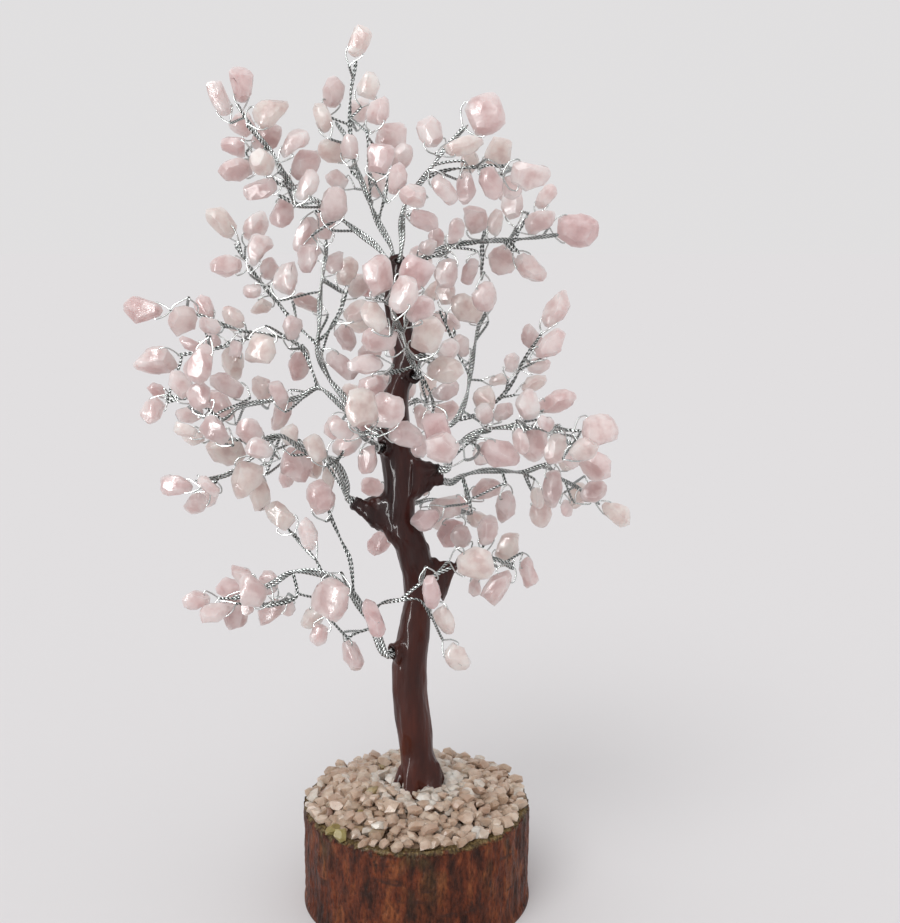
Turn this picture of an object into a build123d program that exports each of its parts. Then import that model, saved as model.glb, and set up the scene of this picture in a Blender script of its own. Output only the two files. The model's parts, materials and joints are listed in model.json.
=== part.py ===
from build123d import *
import os
from functools import lru_cache
from math import cos, dist, hypot, pi, radians, sin, sqrt

# Tree: rise above the top of the log, and depth of the crown in front of and behind the trunk
TREE_RISE = 242.0
CROWN_DEPTH = 56.0

# Log: a slice of a branch with its bark on
LOG_RADIUS = 37.5
LOG_HEIGHT = 34.0
BARK_THICKNESS = 2.8
BARK_FURROW = 0.8
BARK_FURROWS = 44
BARK_GAP = 0.05
RIM_BEVEL = 1.4
BED_RECESS = 2.2
FOOT_HOLE_DEPTH = 20.0

# Glued ground: a bed of clear glue with quartz chips on it
BED_THICKNESS = 1.6
BED_GAP = 0.1
CHIP_LENGTH = 4.2
CHIP_HEIGHT = 2.2
CHIP_SPACING = 4.7
CHIP_LAYERS = 3
CHIP_SIZES = 4
CHIP_STEP_SHARE = 0.06
CHIP_TURN_DEGREES = 77
SPIRAL_TURN_DEGREES = 137.508
LAYER_INSET = 6.5

# Trunk: a wire core under a thick painted coat
CORE_RADIUS = 1.4
CORE_GAP = 0.05
FOOT_RADIUS = 7.6
ROOT_RADIUS = 2.4
ROOT_REACH = 5.0
ROOT_RISE = 11.0
ROOTS = 4
ROOT_START_DEGREES = 25
STUB_WALL = 1.5
STUB_ROOT_SHARE = 2.9
BORE_DEPTH = 1.6
BORE_CLEARANCE = 0.35

# Wire: bundles at the stubs, sprays out of them, and each gem's own doubled wire
WIRE_RADIUS = 0.25
STRAND_GAP = 0.06
BUNDLE_SEAT = 1.0
BUNDLE_STRAIGHT = 2.4
THICK_RADIUS = 1.45
BUNDLE_RADIUS = 1.1
SPRAY_RADIUS = 0.8
TWIG_RADIUS = 0.6
JOIN_GAP = 0.08
START_STEP = 0.2
WIRE_SIDES = 4
BUNDLE_SIDES = 6
LEAST_LEAD = 6.5
LEAD_SAMPLES = 9
ROUTE_SAMPLES = 4

# Gems: drilled rose quartz chips, sizes of a middling one
GEM_LENGTH = 10.0
GEM_THICKNESS = 4.4
GEM_FACE_SHARE = 0.66
HOLE_RADIUS = 0.5
HOLE_PLACE_SHARE = 0.3
HOLE_LEAD = 0.45
CORNER_LEAD = 0.6
FORK_LENGTH = 2.2
GEM_GAP = 0.35
BRANCH_GAP = 1.4
EDGE = 2.0

# Point of view whose pixel positions the tables below are in
VIEW_DISTANCE_SHARE = 1.612
VIEW_RISE_SHARE = 0.789
VIEW_ASIDE_SHARE = 0.0459
VIEW_DISTANCE = VIEW_DISTANCE_SHARE * TREE_RISE
VIEW_RISE = VIEW_RISE_SHARE * TREE_RISE
VIEW_ASIDE = VIEW_ASIDE_SHARE * TREE_RISE
VIEW_PITCH_DEGREES = 11.3
FOCUS_PIXELS = 1270.0
MIDDLE_U_PIXELS = 450.0
MIDDLE_V_PIXELS = 461.5

# Left and right edge of the trunk at each height of the view: v, left u, right u
TRUNK_PIXELS = [
    (785, 404, 443), (775, 402, 442), (750, 400, 433), (730, 397, 432), (710, 394, 430), (690, 392, 427),
    (665, 392, 427), (635, 397, 430), (600, 404, 431), (575, 402, 435), (547, 395, 430), (533, 387, 423),
    (517, 385, 415), (480, 384, 416), (463, 382, 415), (443, 378, 411), (405, 376, 409), (390, 384, 410),
    (370, 391, 420), (352, 396, 426), (330, 389, 413), (316, 386, 412), (300, 383, 403), (285, 385, 404),
    (272, 387, 404), (264, 389, 403),
]
CORE_TOP_ROW = 21

# Unit outlines of the gems, hole end at the bottom: width share, then corners in shares of width and length
GEM_SHARES = {
    "nugget": (0.80, [(-.28, -.50), (.26, -.49), (.50, -.14), (.44, .28), (.12, .50), (-.30, .43), (-.50, .02)]),
    "slab": (0.56, [(-.34, -.50), (.36, -.48), (.50, -.05), (.42, .42), (.05, .50), (-.42, .44), (-.50, -.10)]),
    "leaf": (0.52, [(-.24, -.50), (.26, -.48), (.50, -.10), (.36, .26), (.04, .50), (-.36, .22), (-.50, -.14)]),
    "kite": (0.75, [(-.18, -.50), (.18, -.49), (.42, -.06), (.50, .26), (.22, .50), (-.28, .48), (-.50, .20)]),
    "wedge": (0.80, [(-.40, -.50), (.42, -.47), (.50, -.14), (.30, .36), (.02, .50), (-.26, .41), (-.50, -.08)]),
    "block": (0.95, [(-.40, -.48), (.34, -.50), (.50, -.20), (.46, .38), (.20, .50), (-.40, .44), (-.50, .05)]),
    "bean": (0.60, [(-.28, -.50), (.20, -.50), (.50, -.22), (.47, .26), (.20, .50), (-.28, .47), (-.50, .06)]),
    "shard": (0.85, [(-.34, -.50), (.38, -.42), (.50, .12), (.05, .50), (-.50, .22)]),
    "broad": (1.20, [(-.36, -.50), (.30, -.49), (.50, -.12), (.42, .34), (.08, .50), (-.34, .42), (-.50, .00)]),
    "blade": (0.44, [(-.28, -.50), (.36, -.46), (.50, .10), (.20, .50), (-.30, .42), (-.50, -.05)]),
}
CHIP_SHARES = [(-.42, -.30), (.10, -.50), (.50, -.16), (.36, .34), (-.12, .46), (-.50, .12)]
CHIP_TOP_SHARE = 0.6
TURN_DEGREES = (8, -34, 24, -14, 44, -48, 4, 30, -22)
TILT_SHARES = (-0.22, 0.10, 0.28, -0.08, 0.18, -0.30, 0.04)
SIDESTEP_SHARES = (0, -.08, .08, -.16, .16, -.24, .24, -.32, .32, -.40, .40, -.50, .50)

# Branches. stub: root and mouth as u, v, depth share. size: its bundle. depth: depth
# share at the tips. wires: kind at the start and at the end, and the route as u, v, depth shift share.
# gems: u, v, depth shift share, kind, size share, lean in degrees clockwise from up, None along its wire
BRANCH_PIXELS_AND_SHARES = {
    "low_left": {
        "stub": ((412, 646, 0), (392, 653, -.07)), "size": "thick", "depth": -.34,
        "wires": [
            ("thick", "spray", [(376, 634, 0), (360, 606, 0), (345, 586, 0), (322, 574, 0), (293, 572, 0),
                                (270, 585, 0), (235, 598, .02)]),
            ("twig", "twig", [(293, 572, 0), (296, 597, -.03), (270, 606, -.05), (252, 605, -.04)]),
            ("spray", "twig", [(322, 574, 0), (317, 562, .03), (303, 545, .03), (287, 528, .03)]),
            ("spray", "twig", [(354, 598, 0), (350, 560, .06), (341, 540, .1), (332, 520, .1), (328, 508, .08)]),
            ("spray", "twig", [(368, 620, 0), (380, 604, -.16), (400, 600, -.24), (419, 600, -.24), (432, 618, -.18)]),
            ("twig", "twig", [(400, 600, -.24), (424, 581, -.26), (450, 568, -.18)]),
            ("twig", "twig", [(372, 628, 0), (354, 634, -.04), (346, 640, -.06)]),
        ],
        "gems": [
            (196, 600, .04, "nugget", .9, -90), (230, 590, .16, "block", .85, -70),
            (242, 575, -.05, "wedge", .85, -50), (252, 591, -.14, "block", .95, -60),
            (269, 582, .10, "shard", .9, -20), (214, 613, -.08, "nugget", .95, -110),
            (236, 615, -.04, "wedge", 1.1, 190), (248, 607, .18, "nugget", .6, None),
            (269, 613, -.08, "slab", 1.1, -130), (289, 609, .08, "nugget", .65, 180),
            (331, 600, -.14, "block", 1.3, 200), (314, 618, .02, "nugget", .95, -150),
            (319, 636, -.10, "shard", .8, 200), (374, 619, -.22, "broad", 1.1, None),
            (353, 655, .00, "bean", 1.1, 155), (279, 515, .05, "wedge", 1.0, -40),
            (307, 533, -.06, "leaf", 1.15, -20), (320, 496, .08, "nugget", 1.15, -10),
            (431, 591, -.30, "slab", 1.1, 170), (445, 621, -.14, "wedge", .95, 150),
            (458, 657, -.08, "nugget", 1.0, 140), (475, 563, -.12, "block", 1.15, 90),
        ],
    },
    "low_right": {
        "stub": ((424, 582, 0), (460, 563, .02)), "size": "bundle", "depth": .16,
        "wires": [
            ("bundle", "twig", [(478, 558, 0), (496, 559, .02), (512, 568, .0)]),
            ("spray", "twig", [(478, 558, 0), (484, 544, -.06)]),
        ],
        "gems": [
            (461, 537, .02, "nugget", .9, -20), (487, 530, -.10, "nugget", 1.0, 5),
            (509, 546, .12, "shard", 1.1, 30), (497, 587, -.06, "slab", 1.35, 215),
            (528, 573, .06, "slab", 1.05, 165), (475, 588, .10, "nugget", .7, 180),
        ],
    },
    "mid_left": {
        "stub": ((402, 532, 0), (353, 501, -.03)), "size": "thick", "depth": -.52,
        "wires": [
            ("thick", "twig", [(345, 484, 0), (336, 464, 0), (318, 454, 0), (298, 446, 0), (280, 436, 0),
                               (262, 442, 0), (252, 458, 0), (226, 475, 0), (198, 480, 0)]),
            ("spray", "twig", [(336, 464, 0), (343, 452, -.04)]),
            ("twig", "twig", [(280, 436, 0), (272, 458, .06), (266, 474, .08)]),
            ("twig", "twig", [(262, 442, 0), (240, 440, .04), (212, 438, .04)]),
        ],
        "gems": [
            (328, 480, .06, "slab", .8, 190), (314, 447, -.10, "nugget", .9, -30),
            (347, 443, -.06, "nugget", 1.0, 60), (296, 465, -.04, "block", 1.1, 190),
            (314, 468, .10, "wedge", .9, 180), (289, 474, .16, "nugget", .95, 200),
            (246, 481, -.08, "wedge", 1.2, 200), (260, 496, .04, "slab", 1.2, 165),
            (176, 485, .00, "kite", 1.0, -85), (195, 504, .04, "nugget", .85, -130),
            (208, 486, -.12, "block", .8, None), (210, 498, .14, "wedge", .75, 200),
            (259, 449, -.14, "nugget", .9, -60), (225, 450, -.08, "broad", 1.2, -90),
            (249, 430, -.06, "shard", 1.0, -30), (214, 429, -.16, "nugget", .95, -50),
            (194, 437, -.06, "nugget", .7, -90), (185, 430, -.14, "slab", .75, -70),
            (291, 434, .10, "shard", .8, 0),
        ],
    },
    "front_low": {
        "stub": ((394, 447, 0), (381, 447, -.12)), "size": "bundle", "depth": -.66,
        "wires": [
            ("bundle", "twig", [(372, 444, .0), (362, 436, .0), (352, 424, .02)]),
            ("spray", "twig", [(362, 436, 0), (376, 426, -.04), (386, 428, -.08)]),
        ],
        "gems": [
            (339, 430, .04, "nugget", .85, -70), (361, 408, .02, "block", 1.1, -10),
            (384, 409, -.04, "broad", 1.1, 10), (406, 434, -.08, "nugget", 1.1, 100),
            (368, 461, .04, "wedge", .95, 190),
        ],
    },
    "left_long": {
        "stub": ((394, 417, -.02), (373, 416, -.06)), "size": "bundle", "depth": -.14,
        "wires": [
            ("bundle", "twig", [(350, 412, 0), (332, 397, 0), (318, 388, 0), (298, 398, 0), (268, 401, 0),
                                (240, 407, 0), (222, 420, 0), (205, 417, 0), (190, 408, 0)]),
            ("twig", "twig", [(222, 420, 0), (190, 398, .04), (168, 402, .06)]),
            ("spray", "twig", [(318, 388, 0), (311, 368, .02), (303, 350, .04), (290, 340, .04), (262, 334, .04),
                               (240, 330, .04), (215, 321, .04), (195, 314, .04), (172, 311, .04)]),
            ("spray", "twig", [(262, 334, .04), (238, 342, .08), (210, 350, .08), (180, 355, .08)]),
        ],
        "gems": [
            (281, 414, .06, "slab", 1.1, 200), (278, 392, -.10, "nugget", .8, -20),
            (261, 387, .10, "nugget", .95, -20), (227, 385, -.08, "slab", 1.1, -60),
            (219, 404, .16, "nugget", 1.2, -40), (188, 414, .06, "slab", .9, -100),
            (152, 412, .04, "nugget", .9, -140), (156, 390, .10, "nugget", .65, -60),
            (180, 384, -.06, "wedge", .9, -30), (200, 396, -.08, "block", .85, -20),
            (292, 327, -.08, "nugget", .85, 10), (299, 366, .12, "nugget", .95, 190),
            (261, 350, -.10, "block", 1.0, 190), (233, 318, .10, "wedge", .95, -30),
            (209, 326, -.10, "nugget", .8, None), (204, 306, .04, "nugget", .8, -20),
            (182, 322, .00, "shard", 1.1, 200), (143, 311, .04, "kite", 1.2, -90),
            (213, 341, .18, "nugget", .7, None), (236, 349, -.04, "block", .6, 190),
            (190, 344, -.08, "slab", .8, -70), (200, 364, .02, "kite", 1.2, 200),
            (153, 361, .06, "wedge", 1.35, -100), (233, 362, .16, "block", 1.0, 190),
        ],
    },
    "upper_left": {
        "stub": ((394, 411, .03), (373, 406, .07)), "size": "bundle", "depth": .30,
        "wires": [
            ("bundle", "twig", [(352, 405, 0), (338, 390, 0), (326, 374, 0), (318, 352, 0), (319, 325, 0),
                                (320, 298, 0), (323, 272, 0), (326, 252, 0), (326, 236, 0)]),
            ("spray", "twig", [(320, 340, 0), (333, 325, -.05), (342, 306, -.07), (347, 292, -.07)]),
            ("spray", "twig", [(318, 345, 0), (298, 326, .06), (280, 306, .08), (262, 284, .08),
                               (246, 262, .06), (236, 246, .05)]),
            ("spray", "twig", [(298, 326, .06), (293, 302, .14)]),
        ],
        "gems": [
            (326, 222, -.06, "slab", 1.1, 5), (308, 303, .06, "bean", 1.0, -60),
            (336, 262, -.10, "nugget", .8, 40), (358, 286, .06, "nugget", .85, 50),
            (357, 311, -.12, "nugget", .95, 60), (346, 339, .10, "wedge", 1.0, 150),
            (347, 270, -.02, "nugget", 1.0, 10), (309, 248, .06, "nugget", .85, -50),
            (342, 366, -.06, "slab", 1.15, 130), (258, 250, -.06, "kite", 1.1, 20),
            (270, 268, .04, "nugget", .8, 20), (287, 276, -.10, "wedge", 1.1, 20),
            (226, 266, .04, "nugget", 1.0, -90), (220, 220, .02, "leaf", 1.35, -40),
            (256, 226, .10, "nugget", 1.1, 30), (252, 292, -.06, "nugget", .65, -110),
            (262, 308, .06, "block", .65, -140),
        ],
    },
    "front": {
        "stub": ((409, 374, -.02), (415, 375, -.13)), "size": "bundle", "depth": -.90,
        "wires": [
            ("bundle", "twig", [(416, 370, -.06), (410, 358, -.02), (402, 335, 0), (394, 314, 0), (389, 300, 0)]),
            ("twig", "twig", [(402, 335, 0), (408, 318, -.06)]),
            ("spray", "twig", [(410, 358, -.02), (424, 356, .02), (434, 360, .06)]),
            ("spray", "twig", [(414, 366, -.04), (428, 388, .02), (434, 404, .04)]),
            ("twig", "twig", [(414, 366, -.04), (398, 372, -.02), (386, 374, .0)]),
        ],
        "gems": [
            (379, 339, -.04, "shard", 1.15, -70), (373, 316, .06, "nugget", .95, -40),
            (428, 334, -.06, "block", 1.1, 20), (421, 309, .08, "nugget", .9, 40),
            (405, 292, -.10, "nugget", 1.1, 20), (379, 275, .02, "block", 1.1, -10),
            (416, 272, .10, "block", 1.0, 30), (446, 369, -.06, "nugget", 1.1, 90),
            (446, 390, .08, "nugget", .85, 60), (448, 349, .12, "nugget", .8, 50),
            (437, 430, -.02, "block", 1.0, 170), (421, 447, .10, "nugget", .8, 200),
            (366, 366, -.06, "bean", 1.1, -90), (370, 388, .08, "shard", 1.1, -130),
        ],
    },
    "mid_right": {
        "stub": ((412, 476, 0), (444, 481, .03)), "size": "bundle", "depth": .34,
        "wires": [
            ("bundle", "twig", [(462, 476, 0), (482, 471, 0), (502, 471, 0), (524, 472, 0), (545, 466, 0),
                                (560, 478, .02), (578, 488, .02), (598, 503, .02)]),
            ("spray", "twig", [(462, 476, 0), (468, 495, -.05), (472, 512, -.08)]),
            ("spray", "twig", [(524, 472, 0), (531, 490, .06)]),
            ("twig", "twig", [(502, 471, 0), (506, 484, -.06)]),
            ("twig", "twig", [(545, 466, 0), (558, 460, -.04)]),
        ],
        "gems": [
            (425, 519, .02, "nugget", .95, -120), (446, 506, -.06, "shard", 1.1, -90),
            (450, 534, .08, "shard", 1.15, 200), (487, 489, .06, "nugget", 1.0, 60),
            (506, 507, -.10, "slab", 1.15, 180), (538, 498, -.06, "nugget", .75, 170),
            (541, 514, .12, "nugget", 1.05, 180), (553, 489, -.10, "slab", 1.2, 180),
            (566, 508, .10, "nugget", .6, 170), (570, 460, -.06, "nugget", .8, 60),
            (577, 497, .10, "nugget", 1.0, 200), (593, 491, -.06, "nugget", .95, 60),
            (617, 513, .02, "kite", 1.15, 115), (480, 520, .00, "nugget", .95, 120),
        ],
    },
    "right_long": {
        "stub": ((412, 470, -.01), (440, 469, -.07)), "size": "bundle", "depth": -.42,
        "wires": [
            ("bundle", "twig", [(450, 456, 0), (464, 440, 0), (484, 430, 0), (508, 427, 0), (530, 427, 0),
                                (550, 432, 0), (568, 442, 0), (586, 454, 0)]),
            ("spray", "twig", [(508, 427, 0), (526, 420, .06), (542, 411, .08)]),
            ("twig", "twig", [(550, 432, 0), (566, 430, -.05), (580, 431, -.06)]),
            ("twig", "twig", [(464, 440, 0), (478, 446, -.08)]),
        ],
        "gems": [
            (440, 447, -.16, "shard", 1.15, -60), (500, 454, -.06, "nugget", 1.25, 120),
            (482, 455, .08, "nugget", .85, 170), (484, 413, -.06, "nugget", .7, -20),
            (503, 412, .08, "nugget", .75, None), (520, 442, -.12, "nugget", .8, 170),
            (535, 445, .04, "nugget", 1.1, 190), (556, 450, -.08, "nugget", 1.0, 190),
            (545, 424, -.12, "nugget", .7, None), (528, 404, .02, "nugget", 1.0, -10),
            (557, 401, .08, "slab", 1.2, 70), (600, 432, -.04, "block", 1.15, 90),
            (584, 449, -.14, "nugget", .9, 60), (572, 457, .10, "nugget", .8, 180),
            (596, 466, .00, "block", 1.2, 130),
        ],
    },
    "upper_right": {
        "stub": ((400, 442, .02), (420, 440, .08)), "size": "bundle", "depth": .06,
        "wires": [
            ("bundle", "twig", [(438, 434, 0), (456, 420, 0), (466, 398, .04), (470, 376, .06), (474, 350, .06),
                                (479, 326, .06), (488, 310, .06)]),
            ("spray", "twig", [(470, 376, .06), (458, 352, .12), (454, 330, .14)]),
            ("twig", "twig", [(458, 352, .12), (446, 325, .18), (440, 312, .18)]),
            ("spray", "twig", [(456, 420, 0), (478, 414, -.03), (500, 398, -.04), (514, 380, -.04),
                               (524, 360, -.04), (540, 336, -.04)]),
        ],
        "gems": [
            (466, 309, .02, "nugget", 1.15, -60), (487, 296, .10, "nugget", .95, 10),
            (446, 292, .14, "nugget", .9, 0), (462, 345, -.04, "nugget", .7, -20),
            (556, 308, -.04, "bean", 1.3, 30), (532, 338, .06, "nugget", 1.0, -30),
            (550, 345, -.10, "kite", 1.1, 50), (539, 366, .06, "nugget", .8, 80),
            (535, 383, -.08, "leaf", 1.0, 60), (511, 362, -.10, "nugget", .7, None),
            (500, 381, .10, "nugget", .7, None), (484, 399, -.12, "nugget", 1.0, 0),
        ],
    },
    "top_left": {
        "stub": ((393, 277, 0), (388, 264, -.03)), "size": "bundle", "depth": -.12,
        "wires": [
            ("bundle", "twig", [(376, 246, 0), (358, 232, 0), (340, 218, 0), (318, 202, 0), (298, 192, 0),
                                (284, 174, -.05), (272, 152, -.05), (258, 136, -.05), (246, 118, .0),
                                (238, 106, .04)]),
            ("spray", "twig", [(298, 192, 0), (276, 182, .08), (258, 168, .1), (246, 154, .1)]),
            ("spray", "twig", [(318, 202, 0), (298, 204, .08), (280, 196, .1)]),
            ("twig", "twig", [(340, 218, 0), (326, 226, -.06), (316, 232, -.08)]),
        ],
        "gems": [
            (219, 97, .10, "bean", 1.1, -20), (241, 84, .00, "kite", 1.1, 0),
            (270, 111, -.10, "wedge", 1.1, 60), (243, 124, .14, "block", .8, -50),
            (232, 146, .06, "wedge", .9, -70), (268, 136, .10, "nugget", 1.1, 40),
            (294, 143, -.06, "kite", 1.0, 40), (235, 171, .02, "nugget", 1.0, -100),
            (262, 163, -.12, "nugget", 1.0, None), (260, 190, .06, "slab", 1.1, -110),
            (306, 163, .04, "nugget", 1.1, 30), (308, 184, -.12, "slab", 1.0, 30),
            (282, 214, .06, "nugget", 1.0, 200), (306, 236, -.06, "nugget", 1.1, 200),
            (308, 258, .10, "block", .85, 190), (334, 203, .08, "nugget", 1.1, 10),
        ],
    },
    "top_centre": {
        "stub": ((395, 272, .04), (393, 257, .08)), "size": "bundle", "depth": .12,
        "wires": [
            ("bundle", "twig", [(388, 240, 0), (378, 222, 0), (370, 204, 0), (362, 182, 0), (353, 160, 0),
                                (345, 136, 0), (337, 124, .03)]),
            ("spray", "twig", [(353, 160, 0), (350, 126, .06), (351, 92, .08), (356, 62, .08)]),
            ("spray", "twig", [(370, 204, 0), (370, 184, -.06), (369, 162, -.08), (367, 132, -.08)]),
            ("spray", "twig", [(378, 222, 0), (384, 200, .06), (388, 180, .08)]),
            ("twig", "twig", [(362, 182, 0), (352, 172, .04)]),
        ],
        "gems": [
            (359, 40, .04, "bean", 1.1, 25), (333, 92, .08, "nugget", 1.0, 10),
            (322, 117, -.06, "slab", .95, -20), (369, 84, .00, "shard", .95, 20),
            (379, 110, -.06, "wedge", 1.0, 20), (360, 110, .16, "block", .85, 10),
            (331, 151, .04, "nugget", .95, -75), (349, 146, -.16, "wedge", .8, 0),
            (337, 178, .08, "nugget", .8, -60), (391, 138, .10, "block", 1.05, 10),
            (402, 156, .02, "nugget", .85, 30), (380, 158, -.10, "block", .95, 10),
            (374, 184, .16, "nugget", 1.0, None), (396, 179, -.06, "nugget", .95, 20),
        ],
    },
    "top_right": {
        "stub": ((398, 273, -.03), (400, 259, -.07)), "size": "bundle", "depth": -.26,
        "wires": [
            ("bundle", "twig", [(402, 240, 0), (402, 218, 0), (408, 198, 0), (424, 178, 0), (438, 158, 0),
                                (452, 141, 0), (466, 127, 0)]),
            ("spray", "twig", [(424, 178, 0), (448, 170, .08), (474, 167, .1), (496, 166, .1), (512, 168, .1)]),
            ("twig", "twig", [(402, 218, 0), (410, 214, -.04)]),
        ],
        "gems": [
            (486, 113, .00, "broad", 1.1, 60), (430, 130, .06, "shard", 1.1, -20),
            (464, 146, -.06, "blade", 1.2, 75), (445, 190, -.10, "slab", 1.0, 140),
            (466, 187, .02, "kite", 1.0, 178), (470, 160, .18, "nugget", .85, 20),
            (499, 152, .00, "block", .9, 20), (492, 184, .10, "wedge", 1.0, 170),
            (531, 175, .08, "wedge", 1.2, 90), (414, 196, -.12, "shard", 1.1, None),
            (425, 220, -.04, "nugget", .9, 110), (512, 188, -.02, "nugget", .8, 170),
        ],
    },
    "right_upper": {
        "stub": ((393, 286, 0), (405, 274, .02)), "size": "bundle", "depth": .20,
        "wires": [
            ("bundle", "twig", [(420, 259, 0), (440, 249, 0), (462, 243, 0), (482, 241, 0), (508, 240, 0),
                                (532, 238, -.02), (556, 235, -.03)]),
            ("spray", "twig", [(508, 240, 0), (520, 228, .06), (528, 214, .08)]),
            ("spray", "twig", [(482, 241, 0), (486, 228, .06)]),
            ("spray", "twig", [(482, 241, 0), (482, 262, .04), (481, 278, .04)]),
            ("twig", "twig", [(508, 240, 0), (518, 252, -.04)]),
            ("twig", "twig", [(440, 249, 0), (450, 262, -.05)]),
        ],
        "gems": [
            (474, 218, .02, "shard", 1.05, -20), (496, 221, -.06, "slab", .85, 20),
            (512, 205, .10, "nugget", .95, -10), (540, 220, -.02, "nugget", 1.0, 60),
            (546, 196, .04, "nugget", .85, 30), (504, 190, .14, "nugget", .9, -20),
            (579, 230, -.04, "nugget", 1.4, 95), (532, 268, -.04, "nugget", 1.1, 130),
            (502, 262, .08, "shard", 1.1, 150), (470, 272, -.06, "slab", .9, 200),
            (436, 236, .04, "nugget", .8, -20), (456, 230, -.08, "nugget", .8, 20),
            (446, 275, .04, "nugget", 1.0, 190), (484, 298, -.02, "nugget", 1.0, 180),
            (428, 246, -.10, "nugget", .7, None),
        ],
    },
    "rear_low": {
        "stub": ((405, 524, .02), (410, 519, .13)), "size": "bundle", "depth": .72,
        "wires": [
            ("bundle", "twig", [(412, 514, .04), (412, 506, .04), (396, 498, .0), (384, 494, -.04)]),
            ("spray", "twig", [(412, 506, .04), (428, 500, .04), (444, 500, .04)]),
            ("spray", "twig", [(412, 510, .04), (400, 526, -.06), (388, 536, -.12)]),
        ],
        "gems": [
            (371, 487, .02, "nugget", .95, -70), (379, 543, -.06, "nugget", 1.0, 220),
            (398, 478, .10, "wedge", 1.0, 0), (410, 540, .04, "nugget", .9, 180),
            (424, 482, -.06, "block", .9, 20), (460, 503, .10, "nugget", 1.0, 90),
            (436, 520, .10, "nugget", .9, 130),
        ],
    },
    "rear_mid": {
        "stub": ((395, 432, .02), (397, 428, .13)), "size": "bundle", "depth": .84,
        "wires": [
            ("bundle", "twig", [(398, 420, .06), (398, 412, .08), (384, 404, 0), (368, 404, 0), (352, 410, -.02),
                                (342, 420, -.04)]),
            ("spray", "twig", [(398, 412, .08), (414, 402, .04), (430, 402, .02)]),
            ("spray", "twig", [(398, 412, .08), (404, 430, .0)]),
        ],
        "gems": [
            (352, 396, .04, "nugget", 1.0, -20), (334, 428, .02, "block", .9, 220),
            (366, 426, -.08, "wedge", 1.0, 190), (384, 388, .06, "nugget", 1.1, 10),
            (406, 388, -.10, "shard", 1.0, 10), (428, 384, .04, "nugget", .95, 10),
            (446, 410, .04, "kite", 1.0, 100), (424, 418, .12, "nugget", .9, 160),
            (404, 446, .04, "nugget", 1.0, 180),
        ],
    },
    "rear_upper": {
        "stub": ((399, 334, .02), (400, 328, .12)), "size": "bundle", "depth": .66,
        "wires": [
            ("bundle", "twig", [(401, 318, .06), (401, 310, .06), (388, 298, .02), (376, 292, .0)]),
            ("spray", "twig", [(401, 310, .06), (412, 292, .06), (416, 278, .06)]),
            ("spray", "twig", [(401, 310, .06), (418, 312, .02), (434, 316, .0)]),
            ("spray", "twig", [(401, 314, .06), (390, 328, .04), (380, 340, .02)]),
        ],
        "gems": [
            (362, 286, .04, "nugget", 1.0, -60), (380, 276, -.06, "wedge", .9, 10),
            (398, 268, .08, "nugget", 1.0, -10), (418, 262, -.04, "block", 1.0, 10),
            (436, 290, .06, "nugget", .9, 50), (448, 322, .02, "shard", 1.1, 100),
            (428, 334, .10, "nugget", 1.0, 150), (371, 352, .04, "nugget", 1.0, 220),
            (398, 352, .08, "wedge", 1.0, 180), (358, 324, .10, "nugget", .9, -90),
        ],
    },
}
WIRE_RADII = {"thick": THICK_RADIUS, "bundle": BUNDLE_RADIUS, "spray": SPRAY_RADIUS, "twig": TWIG_RADIUS}


def seen(u, v, depth):
    """Place at a depth behind the trunk's plane that shows at pixel u, v of the view."""
    pitch = radians(VIEW_PITCH_DEGREES)
    across = (u - MIDDLE_U_PIXELS) / FOCUS_PIXELS
    down = (v - MIDDLE_V_PIXELS) / FOCUS_PIXELS
    reach = (VIEW_DISTANCE + depth) / (cos(pitch) - down * sin(pitch))
    rise = VIEW_RISE - (sin(pitch) + down * cos(pitch)) * reach
    return Vector(VIEW_ASIDE + across * reach, depth, LOG_HEIGHT + rise)


def trunk_rings():
    """Centre and radius of the trunk at each row of its table, foot first."""
    rings = []
    for v, left, right in TRUNK_PIXELS:
        start = seen(left, v, 0)
        end = seen(right, v, 0)
        rings.append(((start + end) / 2, (end - start).length / 2))
    return rings


def branch_depths(branch):
    """Depth share of a pixel position of a branch: from its mouth's to its tips' as it goes out."""
    mouth_u, mouth_v, mouth_share = branch["stub"][1]
    reach = max(hypot(gem[0] - mouth_u, gem[1] - mouth_v) for gem in branch["gems"])

    def place(u, v, shift_share):
        out_share = hypot(u - mouth_u, v - mouth_v) / reach
        depth_share = mouth_share + (branch["depth"] - mouth_share) * out_share + shift_share
        return seen(u, v, depth_share * CROWN_DEPTH)

    return place


def stub_ends(branch):
    """Root and mouth of a stub, and the way out of its mouth."""
    (root_u, root_v, root_share), (mouth_u, mouth_v, mouth_share) = branch["stub"]
    root = seen(root_u, root_v, root_share * CROWN_DEPTH)
    mouth = seen(mouth_u, mouth_v, mouth_share * CROWN_DEPTH)
    return root, mouth, (mouth - root).normalized()


def routes(branch):
    """Radii and points of each bundle, spray and twig of a branch, each starting clear of its carrier."""
    place = branch_depths(branch)
    mouth, way_out = stub_ends(branch)[1:]
    found = []
    for start_kind, end_kind, row in branch["wires"]:
        points = [place(*spot) for spot in row]
        if not found:
            points = [mouth - way_out * BUNDLE_SEAT, mouth + way_out * BUNDLE_STRAIGHT] + points
        else:
            points[0] = clear_start(found, points[0], points[1], WIRE_RADII[start_kind])
        start_radius, end_radius = WIRE_RADII[start_kind], WIRE_RADII[end_kind]
        last = len(points) - 1
        radii = [start_radius + (end_radius - start_radius) * number / last for number in range(last + 1)]
        found.append((radii, points))
    return found


def clear_start(carriers, start, end, half_width):
    """Start of a wire moved along its first run until its flat end is just clear of what carries it."""
    run = end - start
    steps = int(run.length / START_STEP)
    for step in range(steps):
        place = start + run * (step / steps)
        if end_room(carriers, place, run.normalized(), half_width) > JOIN_GAP:
            return place
    return start + run / 2


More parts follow.
